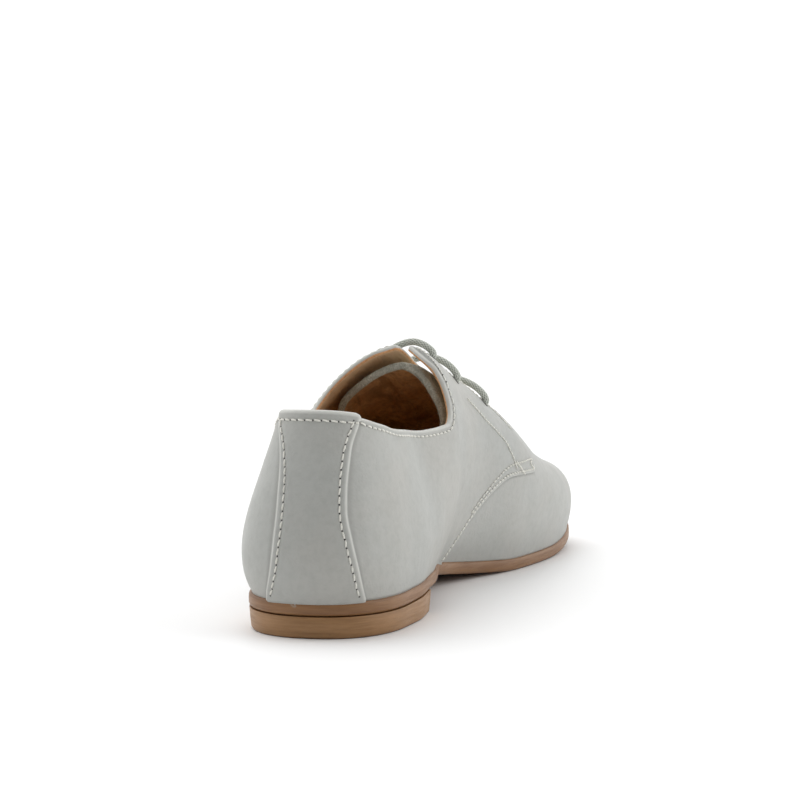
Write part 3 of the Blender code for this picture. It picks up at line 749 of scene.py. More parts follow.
def stitch_rows():
    """Rows of stitches as (side, turns, heights, pitch)."""
    rows = []
    for side in (MEDIAL, LATERAL):
        end = float(turn_of(LINES[-1][2]))
        turns = np.concatenate([np.linspace(low, high, count)
                                for low, high, count in ((0, 0.36, 60), (0.362, 0.42, 90), (0.421, end, 60))])
        heights = np.array([inner_top(side, float(turn), TOPLINE_ROW) for turn in turns])
        rows.append((side, turns, heights, BACK_PITCH))
        shares = np.linspace(0.02, 1.0, 60)
        top = inner_top(side, 0.0, TOPLINE_ROW)
        heights = shares * top
        halves = STRIP_WIDTH * read(STRIP, side_column(side), shares) - STRIP_ROW
        turns = np.array([turn_from_back(side, height, half) for height, half in zip(heights, halves)])
        rows.append((side, turns, heights, BACK_PITCH))
        shares = np.linspace(0.0, 0.985, 90)
        ends = []
        turns = turn_of(read(LINES, 3, shares))
        top = top_height(side, float(turn_of(LINES[-1][3])))
        for near, far, first in SEAM_ROWS:
            distance = near + (far - near) * ease((shares - 0.55) / 0.45)
            row_turns, row_heights = offset_curve(side, turns, shares * top, distance)
            keep = (row_heights > max(0.004, first)) & (shares < 0.95)
            rows.append((side, row_turns[keep], row_heights[keep], FRONT_PITCH))
            ends.append((row_turns[keep][-1], row_heights[keep][-1]))
        rows.append((side, np.linspace(ends[0][0], ends[1][0], 12), np.linspace(ends[0][1], ends[1][1], 12),
                     FRONT_PITCH * 0.7))
        places = np.linspace(FACING_ROW[0][0], FACING_ROW[-1][0], 60)
        offsets = read(FACING_ROW, 1, places)
        turns = turn_of(places)
        heights = [height_from_ridge(side, turn, facing_distance(side, place) + offset)
                   for turn, place, offset in zip(turns, places, offsets)]
        rows.append((side, turns, np.array(heights), FRONT_PITCH))
    return rows


def resample(points, pitch):
    """Points at an even pitch along a line."""
    lengths = lengths_along(points)
    count = max(1, int(round(lengths[-1] / pitch)))
    wanted = np.linspace(0, lengths[-1], count + 1)
    return np.stack([np.interp(wanted, lengths, points[:, k]) for k in range(3)], -1)


def nearest_distance(points, targets):
    """Distance from each point to the nearest target."""
    tree = KDTree(len(targets))
    for k, target in enumerate(targets):
        tree.insert(target, k)
    tree.balance()
    return np.array([tree.find(point)[2] for point in points])


def new_piece(name, vertices, faces, materials, face_material=None):
    """A smooth mesh that rides on the root body."""
    mesh = bpy.data.meshes.new(name)
    mesh.from_pydata([tuple(v) for v in vertices], [], [tuple(f) for f in faces])
    for material in materials:
        mesh.materials.append(material)
    if face_material is not None:
        mesh.polygons.foreach_set("material_index", np.array(face_material, dtype=np.int32))
    mesh.shade_smooth()
    piece = bpy.data.objects.new(name, mesh)
    bpy.context.scene.collection.objects.link(piece)
    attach(piece, "root")
    return piece


def join_doubles(mesh, distance, drop_loose=False):
    """Join vertices that lie on each other, and turn all faces outward."""
    build = bmesh.new()
    build.from_mesh(mesh)
    if drop_loose:
        bmesh.ops.delete(build, geom=[v for v in build.verts if not v.link_faces], context="VERTS")
    bmesh.ops.remove_doubles(build, verts=build.verts, dist=distance)
    bmesh.ops.recalc_face_normals(build, faces=build.faces)
    build.to_mesh(mesh)
    build.free()


def set_attribute(mesh, name, values):
    attribute = mesh.attributes.new(name, "FLOAT", "POINT")
    attribute.data.foreach_set("value", np.asarray(values, dtype=np.float32))


def build_upper(leather, lining, edge_leather):
    """The upper's skin, inside and out, with its rounded edge, creases and stitch furrows, and attributes
    that carry painted shade in the furrows, painted highlight and shadow at its edges and painted light on
    the lining near the top.
    """
    sides = {}
    for side in (MEDIAL, LATERAL):
        sides[side] = [[last_point(side, turns, heights), skin_normal(side, turns, heights), level, kind]
                       for turns, heights, level, kind in fine_columns(side)]
    for k in range(len(sides[MEDIAL])):
        near, far = sides[MEDIAL][k], sides[LATERAL][k]
        if k in (0, len(sides[MEDIAL]) - 1):
            for part in (0, 1):
                mean = (near[part] + far[part]) / 2
                near[part] = mean
                far[part] = mean.copy()
        elif near[3] in ("tab", "vamp"):
            for part in (0, 1):
                mean = (near[part][-1] + far[part][-1]) / 2
                near[part][-1] = mean
                far[part][-1] = mean
        for item in (near, far):
            item[1] = unit(item[1])
    rows = stitch_rows()
    furrow_targets = np.concatenate([resample(skin(side, turns, heights, WALL + QUARTER_STEP), 0.0004)
                                     for side, turns, heights, _ in rows])
    crease_targets = []
    for side, along_a, height_a, along_b, height_b, width, depth in CREASES:
        t = np.linspace(0, 1, 24)
        turns = turn_of(along_a + (along_b - along_a) * t)
        line = skin(side, turns, height_a + (height_b - height_a) * t, WALL)
        crease_targets.append((line, np.sin(math.pi * t) ** 0.7, width, depth))

    vertices, faces, kinds, furrow_shade, edge_light_and_shade = [], [], [], [], []

    def add_face(quad, flip, kind):
        faces.append(quad[::-1] if flip else quad)
        kinds.append(kind)

    def add_grid_faces(grid, flip, kind):
        for near, far in zip(grid, grid[1:]):
            for k in range(min(len(near), len(far)) - 1):
                add_face((near[k], far[k], far[k + 1], near[k + 1]), flip, kind)

    for side in (MEDIAL, LATERAL):
        columns = sides[side]
        flat_in = np.concatenate([column[0] for column in columns])
        flat_normal = np.concatenate([column[1] for column in columns])
        level = np.concatenate([column[2] for column in columns])
        flat_out = flat_in + flat_normal * level[:, None]
        distance = nearest_distance(flat_out, furrow_targets)
        dent = -FURROW_DEPTH * np.exp(-(distance / FURROW_WIDTH) ** 2)
        dent += 0.00008 * np.exp(-((distance - 0.0013) / 0.0007) ** 2)
        for line, fade, width, depth in crease_targets:
            gaps = np.linalg.norm(flat_out[:, None, :] - line[None, :, :], axis=-1)
            pick = gaps.argmin(1)
            near = gaps[np.arange(len(pick)), pick]
            dent -= depth * fade[pick] * np.exp(-(near / width) ** 2)
        dent += 0.00012 * soft_noise(flat_out, 0.027, 3)
        open_columns = [column for column in columns if column[3] != "vamp"]
        edge_line = np.array([column[0][TOP_ROW] for column in open_columns])
        from_top = nearest_distance(flat_in, edge_line)
        furrow_dent = -FURROW_DEPTH * np.exp(-(distance / FURROW_WIDTH) ** 2)
        guard = ease(from_top / 0.009)
        dent = furrow_dent + (dent - furrow_dent) * guard
        flat_out = flat_out + flat_normal * dent[:, None]
        inner = flat_in + flat_normal * (0.00012 * soft_noise(flat_in, 0.012, 9) - 0.00012)[:, None]
        # Painted light: the lining is lighter near the upper's top edge and darker further in
        pale = np.exp(-from_top / 0.016)
        outer_grid, inner_grid = [], []
        start = 0
        strip_edge = len(STRIP_PLACES) - 1
        seam_edge = max(k for k, column in enumerate(columns) if column[3] == "tab")
        for place, column in enumerate(columns):
            count = len(column[0])
            # Painted highlight along the strip's edge and the tab's edge, and painted shadow on the column
            # just past each of them
            cut = {strip_edge: 1.0, strip_edge - 1: 0.45, seam_edge: 0.7, seam_edge - 1: 0.25}.get(place, 0.0)
            cut = -0.8 if place in (strip_edge + 1, seam_edge + 1) else cut
            out_points = flat_out[start:start + count]
            in_points = inner[start:start + count]
            near = distance[start:start + count]
            pale_here = pale[start:start + count]
            start += count
            lip = np.array([0, 0, -LIP_HEIGHT])
            ids_out, ids_in = [], []
            for points, ids, is_out in ((out_points, ids_out, True), (in_points, ids_in, False)):
                for k in range(-1, count):
                    point = points[0] + lip if k < 0 else points[k]
                    ids.append(len(vertices))
                    vertices.append(point)
                    # Share of painted shade along the stitch furrows, on the outside only
                    furrow_shade.append(math.exp(-(near[max(k, 0)] / 0.0009) ** 2) if is_out else 0.0)
                    # Outside: painted highlight at the edges and painted shadow just past them; inside:
                    # painted light near the top
                    edge_light_and_shade.append((cut if k <= TOP_ROW else 0.0) if is_out else pale_here[max(k, 0)])
            outer_grid.append(ids_out)
            inner_grid.append(ids_in)
        flip = side == LATERAL
        add_grid_faces(outer_grid, flip, 0)
        add_grid_faces(inner_grid, not flip, 1)
        for near_out, far_out, near_in, far_in in zip(outer_grid, outer_grid[1:], inner_grid, inner_grid[1:]):
            add_face((near_out[0], near_in[0], far_in[0], far_out[0]), flip, 0)
        # The rounded edge runs round the collar, up the facing, then across the foot of the throat
        first_tab = next(k for k, column in enumerate(columns) if column[3] == "tab")
        wall_rows = len(outer_grid[0])
        border = [(outer_grid[k][wall_rows - 1], inner_grid[k][wall_rows - 1]) for k in range(first_tab + 1)]
        border += [(outer_grid[first_tab][k], inner_grid[first_tab][k])
                   for k in range(wall_rows, len(outer_grid[first_tab]))]
        tops = np.array([(vertices[a] + vertices[b]) / 2 for a, b in border])
        halves = np.array([(vertices[a] - vertices[b]) / 2 for a, b in border])
        away = unit(np.cross(unit(np.gradient(tops, axis=0)), halves))
        inside_column = np.array(vertices[outer_grid[0][wall_rows - 3]])
        if ((tops[0] - inside_column) * away[0]).sum() < 0:
            away = -away
        last = len(border) - 1
        if away[0][0] != 0:
            away[0][0] = 0
            away[0] = unit(away[0])
        rim = [[a for a, b in border]]
        for step in range(1, RIM_STEPS):
            angle = math.pi * step / RIM_STEPS
            ring = []
            for j in range(len(border)):
                radius = np.linalg.norm(halves[j])
                squeeze = 1.0 if j < last - FINE_RIDGE else 0.5
                point = tops[j] + halves[j] * math.cos(angle) + away[j] * radius * squeeze * math.sin(angle)
                ring.append(len(vertices))
                vertices.append(point)
                furrow_shade.append(0.0)
                # Painted highlight on the rounded rim
                edge_light_and_shade.append(0.8)
            rim.append(ring)
        rim.append([b for a, b in border])
        for step, (low, high) in enumerate(zip(rim, rim[1:])):
            for j in range(len(border) - 1):
                kind = 0 if step < 4 else (2 if step < 6 else 1)
                add_face((low[j], low[j + 1], high[j + 1], high[j]), flip, kind)
        for ids in border:
            # Weaker painted highlight where the wall meets the rim
            edge_light_and_shade[ids[0]] = 0.5
    vertices = np.array(vertices)
    piece = new_piece("upper_leather", vertices, faces, [leather, lining, edge_leather], kinds)
    set_attribute(piece.data, "furrow_shade", furrow_shade)
    set_attribute(piece.data, "edge", edge_light_and_shade)
    join_doubles(piece.data, 0.00002)
    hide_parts("upper")
    return piece, rows


def add_stitches(upper, rows, thread, hole):
    """Thread over each stitch, and between two of them a dark disc as painted shade of the needle hole."""
    tree = BVHTree.FromObject(upper, bpy.context.evaluated_depsgraph_get())
    stitches, holes = [], []
    for side, turns, heights, pitch in rows:
        raised = skin(side, turns, np.clip(heights, 0, 1), WALL + QUARTER_STEP + 0.0006)
        line = resample(raised, pitch)
        seated = [tree.find_nearest(Vector(point)) for point in line]
        for (a, normal_a, _, _), (b, normal_b, _, _) in zip(seated, seated[1:]):
            stitches.append((np.array(a), np.array(b), np.array(normal_a + normal_b) / 2, pitch))
        size = 1.0 if pitch == BACK_PITCH else 0.62
        holes += [(np.array(place), np.array(normal), size) for place, normal, _, _ in seated]
    for side in (MEDIAL, LATERAL):
        scale = top_height(side, turn_of(TACK[0][0])) / top_height(MEDIAL, turn_of(TACK[0][0]))
        ends = [skin(side, turn_of(along), height * scale, WALL + QUARTER_STEP) for along, height in TACK]
        across = unit(np.cross(ends[1] - ends[0], skin_normal(side, float(turn_of(TACK[0][0])), TACK[0][1])))
        for k in range(TACK_STITCHES):
            middle = ends[0] + (ends[1] - ends[0]) * k / (TACK_STITCHES - 1)
            pair = [tree.find_nearest(Vector(middle + across * s * TACK_HALF)) for s in (-1, 1)]
            normal = np.array(pair[0][1] + pair[1][1]) / 2
            stitches.append((np.array(pair[0][0]), np.array(pair[1][0]), normal, 0.0012))
    sides, rings = 7, 7
    vertices, faces = [], []
    rng = np.random.default_rng(11)
    for a, b, normal, pitch in stitches:
        run = b - a
        length = np.linalg.norm(run)
        if length < 1e-6:
            continue
        run = run / length
        across = unit(np.cross(run, normal))
        up = np.cross(across, run)
        slant = across * (0.00012 + 0.00005 * rng.standard_normal())
        first = len(vertices)
        for ring in range(rings):
            t = ring / (rings - 1)
            bulge = math.sin(math.pi * (0.06 + 0.88 * t))
            reach = 0.10 + 0.80 * t
            middle = a + run * length * reach + slant * (2 * t - 1) + up * (0.00024 * bulge - 0.00004)
            radius = THREAD_RADIUS * (0.55 + 0.45 * bulge)
            for k in range(sides):
                angle = 2 * math.pi * (k / sides + 0.35 * t)
                vertices.append(middle + (across * math.cos(angle) + up * math.sin(angle)) * radius)
        for ring in range(rings - 1):
            for k in range(sides):
                low = first + ring * sides
                faces.append((low + k, low + (k + 1) % sides, low + sides + (k + 1) % sides, low + sides + k))
        faces.append(tuple(range(first, first + sides))[::-1])
        faces.append(tuple(range(first + (rings - 1) * sides, first + rings * sides)))
    piece = new_piece("stitching", vertices, faces, [thread])
    # A dark disc at each needle hole, painted shade of the hole
    vertices, faces = [], []
    for place, normal, size in holes:
        across = unit(np.cross(normal, (0.3, 0.2, 0.9)))
        up = np.cross(normal, across)
        first = len(vertices)
        vertices.append(place + normal * 0.00007)
        for ring, (radius, lift) in enumerate(((0.6, 0.00006), (1.0, 0.00001))):
            for k in range(9):
                angle = 2 * math.pi * k / 9
                reach = HOLE_RADIUS * radius * size
                around = across * math.cos(angle) + up * math.sin(angle)
                vertices.append(place + around * reach + normal * lift)
        for k in range(9):
            after = (k + 1) % 9
            faces.append((first, first + 1 + k, first + 1 + after))
            faces.append((first + 1 + k, first + 10 + k, first + 10 + after, first + 1 + after))
    new_piece("needle_holes", vertices, faces, [hole])
    return tree


def build_tongue(suede, lining):
    """The suede tongue with its frayed edge, and loose fibres along its free end."""
    first, last = TONGUE[0][0], TONGUE[-1][0]
    columns, rows = 150, 46
    places = first + (last - first) * np.linspace(0, 1, rows + 1) ** 1.5
    share = np.linspace(-1, 1, columns + 1)[None, :]
    share[0, columns // 2] = 0.0
    half = TONGUE_WIDTH / 2 * read(TONGUE, 1, places)[:, None]
    turns = turn_of(places[:, None] + read(TONGUE, 2, places)[:, None] * share**2)
    sink = TONGUE_SINK * read(TONGUE, 3, places)[:, None] * read(TONGUE_DEPTH, 1, np.abs(share))
    gap = (TONGUE_GAP + sink)[..., None]
    skin_top = beside_ridge(turns, half * share, 0.0)
    inward = unit(beside_ridge(turns, half * share, -0.001) - skin_top)
    top = skin_top + inward * gap
    low = skin_top + inward * (gap + TONGUE_THICKNESS)
    for grid in (top, low):
        middle = grid.copy()
        for _ in range(60):
            middle[:, 1:-1] = (middle[:, :-2] + 2 * middle[:, 1:-1] + middle[:, 2:]) / 4
        near_middle = np.exp(-(share[0] / 0.16) ** 2)[None, :, None]
        grid += (middle - grid) * near_middle
    rough = soft_noise(top, 0.0011, 21) * 0.00010 + soft_noise(top, 0.0045, 23) * 0.00012
    top = top + unit(top - low) * rough[..., None]
    vertices, faces, kinds = [], [], []

    def ids(grid):
        start = len(vertices)
        vertices.extend(grid.reshape(-1, 3))
        return np.arange(start, start + grid.shape[0] * grid.shape[1]).reshape(grid.shape[:2])

    up, down = ids(top), ids(low)
    for r in range(rows):
        for c in range(columns):
            faces.append((up[r, c], up[r, c + 1], up[r + 1, c + 1], up[r + 1, c]))
            kinds.append(0)
            faces.append((down[r, c + 1], down[r, c], down[r + 1, c], down[r + 1, c + 1]))
            kinds.append(1)
    border = [(0, c) for c in range(columns + 1)]
    border += [(r, columns) for r in range(1, rows + 1)]
    border += [(rows, c) for c in range(columns - 1, -1, -1)]
    border += [(r, 0) for r in range(rows - 1, 0, -1)]
    centre = top.reshape(-1, 3).mean(0)
    tops = np.array([top[p] for p in border])
    lows = np.array([low[p] for p in border])
    away = unit(np.cross(tops - lows, unit(np.roll(tops, -1, 0) - np.roll(tops, 1, 0))))
    if ((tops[columns // 2] - centre) * away[columns // 2]).sum() < 0:
        away = -away
    rings = [[up[p] for p in border]]
    steps = 7
    for step in range(1, steps):
        t = step / steps
        middle = tops + (lows - tops) * t
        fray = 0.00014 + 0.00026 * soft_noise(middle, 0.0008, 31) + 0.00018 * soft_noise(middle, 0.0021, 33)
        bow = 0.0005 * math.sin(math.pi * t)
        points = middle + away * (bow + fray * (0.5 + 0.5 * t))[:, None]
        start = len(vertices)
        vertices.extend(points)
        rings.append(list(range(start, start + len(border))))
    rings.append([down[p] for p in border])
    for high, lower in zip(rings, rings[1:]):
        for j in range(len(border)):
            after = (j + 1) % len(border)
            faces.append((high[j], lower[j], lower[after], high[after]))
            kinds.append(0)
    piece = new_piece("tongue_suede", np.array(vertices), faces, [suede, lining], kinds)
    join_doubles(piece.data, 0.0000001)
    rng = np.random.default_rng(5)
    fibres, fibre_faces = [], []
    edge_count = columns + 1
    for _ in range(1500):
        j = rng.integers(0, edge_count)
        t = rng.uniform(0.05, 0.98)
        root = tops[j] + (lows[j] - tops[j]) * t + away[j] * 0.0003
        lean = unit(away[j] + 0.9 * rng.standard_normal(3))
        length = rng.uniform(0.0003, 0.0009)
        wide = unit(np.cross(lean, rng.standard_normal(3))) * 0.00007
        other = np.cross(lean, wide)
        bend = rng.standard_normal(3) * 0.00015
        first_id = len(fibres)
        for share in (0.0, 0.5, 1.0):
            middle = root + lean * length * share + bend * share**2
            thin = 1 - 0.75 * share
            fibres += [middle + wide * thin, middle - wide * 0.5 * thin + other * 0.87 * thin,
                       middle - wide * 0.5 * thin - other * 0.87 * thin]
        for ring in (0, 3):
            for k in range(3):
                a, b = first_id + ring + k, first_id + ring + (k + 1) % 3
                fibre_faces.append((a, b, b + 3, a + 3))
        fibre_faces.append((first_id + 6, first_id + 7, first_id + 8))
    fuzz = new_piece("tongue_fibres", fibres, fibre_faces, [suede])
    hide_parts("tongue")


def build_lace(number, place, span, tree, material, hole):
    """A braided cord over the facings that dips into a punched hole at each end, each hole drawn as dark
    rings and a disc of painted shade.
    """
    turn = float(turn_of(place))
    reaches, outs = [], []
    for share in np.linspace(-1.32, 1.32, 45):
        beyond = max(0.0, abs(share) - 0.86) / 0.46
        level = quarter_level(place, 1.0)
        out = level + TOUCH_GAP + LACE_DIAMETER / 2 + LACE_ARCH * max(0.0, 1 - share**2)
        out -= (out - 0.0013) * ease(beyond)
        reach = span / 2 * math.copysign(min(abs(share), 1.0) + 0.35 * (beyond - beyond**2 / 2) * 0.46, share)
        reaches.append(reach)
        outs.append(float(out))
    on_skin = beside_ridge(turn, reaches, 0.0)
    outward = (beside_ridge(turn, reaches, 0.001) - on_skin) * 1000
    line = resample(on_skin + outward * np.array(outs)[:, None], LACE_STEP)
    run = unit(np.gradient(line, axis=0))
    normal = unit(np.cross(run, (0.0, 1.0, 0.0)))
    other = np.cross(run, normal)
    sides = 40
    # The braid's tone, whose low end is painted shade in the grooves between strands
    vertices, faces, groove_shade = [], [], []
    for k in range(len(line)):
        way = k * LACE_STEP
        for j in range(sides):
            angle = 2 * math.pi * j / sides
            weave = max(math.cos(LACE_STRANDS * (angle + way / LACE_LAY)),
                        math.cos(LACE_STRANDS * (angle - way / LACE_LAY)))
            radius = LACE_DIAMETER / 2 * (0.91 + 0.10 * weave)
            vertices.append(line[k] + (normal[k] * math.cos(angle) + other[k] * math.sin(angle)) * radius)
            groove_shade.append(weave)
    for k in range(len(line) - 1):
        for j in range(sides):
            after = (j + 1) % sides
            faces.append((k * sides + j, k * sides + after, (k + 1) * sides + after, (k + 1) * sides + j))
    faces.append(tuple(range(sides))[::-1])
    faces.append(tuple(range((len(line) - 1) * sides, len(line) * sides)))
    piece = new_piece(f"lace_{number}", vertices, faces, [material])
    join_doubles(piece.data, 0.0000001)
    if len(piece.data.vertices) == len(groove_shade):
        set_attribute(piece.data, "weave", groove_shade)
    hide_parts(f"lace_bar_{number}")
    # Dark rings and a dark disc at each end, painted shade of the punched hole
    hole_vertices, hole_faces = [], []
    for end in (-1, 1):
        spot = beside_ridge(turn, [span / 2 * 1.06 * end], WALL + QUARTER_STEP)[0]
        centre, up_normal, _, _ = tree.find_nearest(Vector(spot))
        centre, up_normal = np.array(centre), np.array(up_normal)
        across = unit(np.cross(up_normal, (0.1, 0.9, 0.2)))
        beside = np.cross(up_normal, across)
        first = len(hole_vertices)
        count = 28
        for radius, lift in LACE_HOLE:
            for k in range(count):
                angle = 2 * math.pi * k / count
                reach = radius * (1 + 0.04 * math.sin(3 * angle + number))
                hole_vertices.append(centre + (across * math.cos(angle) + beside * math.sin(angle)) * reach
                                     + up_normal * lift)
        for ring in range(len(LACE_HOLE) - 1):
            for k in range(count):
                after = (k + 1) % count
                low = first + ring * count
                hole_faces.append((low + k, low + after, low + count + after, low + count + k))
        hole_faces.append(tuple(range(first + 3 * count, first + 4 * count)))
    new_piece(f"lace_holes_{number}", hole_vertices, hole_faces, [hole])


def fine_slab(name, node, material, turns, rings, front_dip=0.0):
    """The sole's or the heel's solid again, with finer stations and side profile."""
    across = np.linspace(0, 1, 9)
    along = along_of(turns)
    vertices, faces, layers = [], [], []
    for inset, heights in rings:
        left_x, left_y = sole_edge(LATERAL, along, inset)
        right_x, right_y = sole_edge(MEDIAL, along, inset)
        layer = []
        for k in range(len(turns)):
            dip = front_dip if k == len(turns) - 1 else 0.0
            row = []
            for share in across:
                x = left_x[k] + (right_x[k] - left_x[k]) * share
                y = left_y[k] + (right_y[k] - left_y[k]) * share - dip * 4 * share * (1 - share)
                row.append(len(vertices))
                vertices.append((x, y, heights[k]))
            layer.append(row)
        layers.append(layer)
    for layer, flip in ((layers[0], True), (layers[-1], False)):
        for near, far in zip(layer, layer[1:]):
            for k in range(len(across) - 1):
                quad = (near[k], near[k + 1], far[k + 1], far[k])
                faces.append(quad[::-1] if flip else quad)
    for low, high in zip(layers, layers[1:]):
        ring_low, ring_high = [], []
        for layer, ring in ((low, ring_low), (high, ring_high)):
            right = [row[-1] for row in layer]
            left = [row[0] for row in layer]
            ring += layer[0][:-1] + right + layer[-1][-2:0:-1] + left[:0:-1]
        for k in range(len(ring_low)):
            after = (k + 1) % len(ring_low)
            faces.append((ring_low[k], ring_low[after], ring_high[after], ring_high[k]))
    piece = new_piece(name, vertices, faces, [material])
    join_doubles(piece.data, 0.00001, drop_loose=True)
    piece.data.shade_smooth()
    piece.data.set_sharp_from_angle(angle=math.radians(40))
    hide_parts(node)
    return piece


class Nodes:
    """A short way to write a material's nodes."""

    def __init__(self, name):
        self.material = bpy.data.materials.new(name)
        self.material.use_nodes = True
        self.tree = self.material.node_tree
        self.shader = self.tree.nodes["Principled BSDF"]
        self.place = self.add("ShaderNodeTexCoord").outputs["Object"]

    def add(self, kind, **values):
        node = self.tree.nodes.new(kind)
        for key, value in values.items():
            setattr(node, key, value)
        return node

    def link(self, output, socket):
        if hasattr(output, "is_linked"):
            self.tree.links.new(output, socket)
        else:
            socket.default_value = output

    def stretched(self, scale):
        node = self.add("ShaderNodeMapping")
        node.inputs["Scale"].default_value = scale
        self.tree.links.new(self.place, node.inputs["Vector"])
        return node.outputs["Vector"]

    def noise(self, scale, detail=3.0, roughness=0.55, place=None, distortion=0.0):
        node = self.add("ShaderNodeTexNoise")
        node.inputs["Scale"].default_value = scale
        node.inputs["Detail"].default_value = detail
        node.inputs["Roughness"].default_value = roughness
        node.inputs["Distortion"].default_value = distortion
        self.tree.links.new(place or self.place, node.inputs["Vector"])
        return node.outputs["Fac"]

    def cells(self, scale, feature="F1", randomness=1.0, place=None):
        node = self.add("ShaderNodeTexVoronoi", feature=feature)
        node.inputs["Scale"].default_value = scale
        node.inputs["Randomness"].default_value = randomness
        self.tree.links.new(place or self.place, node.inputs["Vector"])
        return node.outputs["Distance"]

    def ramp(self, value, low, high, out_low=0.0, out_high=1.0, smooth=True):
        node = self.add("ShaderNodeMapRange", interpolation_type="SMOOTHSTEP" if smooth else "LINEAR")
        for key, number in (("From Min", low), ("From Max", high), ("To Min", out_low), ("To Max", out_high)):
            node.inputs[key].default_value = number
        self.link(value, node.inputs["Value"])
        return node.outputs["Result"]

    def math(self, operation, a, b=0.0):
        node = self.add("ShaderNodeMath", operation=operation)
        self.link(a, node.inputs[0])
        self.link(b, node.inputs[1])
        return node.outputs["Value"]

    def mix(self, share, a, b):
        node = self.add("ShaderNodeMix", data_type="RGBA")
        self.link(share, node.inputs["Factor"])
        for value, socket in ((a, node.inputs["A"]), (b, node.inputs["B"])):
            self.link(value if hasattr(value, "is_linked") else (*value, 1.0), socket)
        return node.outputs["Result"]

    def attribute(self, name):
        return self.add("ShaderNodeAttribute", attribute_name=name).outputs["Fac"]

    def axis(self, name):
        node = self.add("ShaderNodeSeparateXYZ")
        self.tree.links.new(self.place, node.inputs[0])
        return node.outputs[name]

    def near(self, point, inner, outer):
        """1 within the inner distance of a point, 0 past the outer."""
        node = self.add("ShaderNodeVectorMath", operation="DISTANCE")
        self.tree.links.new(self.place, node.inputs[0])
        node.inputs[1].default_value = point
        return self.ramp(node.outputs["Value"], inner, outer, 1.0, 0.0)

    def bump(self, height, distance, strength=1.0, under=None):
        node = self.add("ShaderNodeBump")
        node.inputs["Distance"].default_value = distance
        node.inputs["Strength"].default_value = strength
        self.link(height, node.inputs["Height"])
        if under is not None:
            self.tree.links.new(under, node.inputs["Normal"])
        return node.outputs["Normal"]

    def finish(self, colour, roughness, normal=None, **constants):
        self.tree.links.new(colour, self.shader.inputs["Base Color"])
        self.link(roughness, self.shader.inputs["Roughness"])
        if normal is not None:
            self.tree.links.new(normal, self.shader.inputs["Normal"])
        for key, value in constants.items():
            self.shader.inputs[key.replace("_", " ")].default_value = value
        return self.material


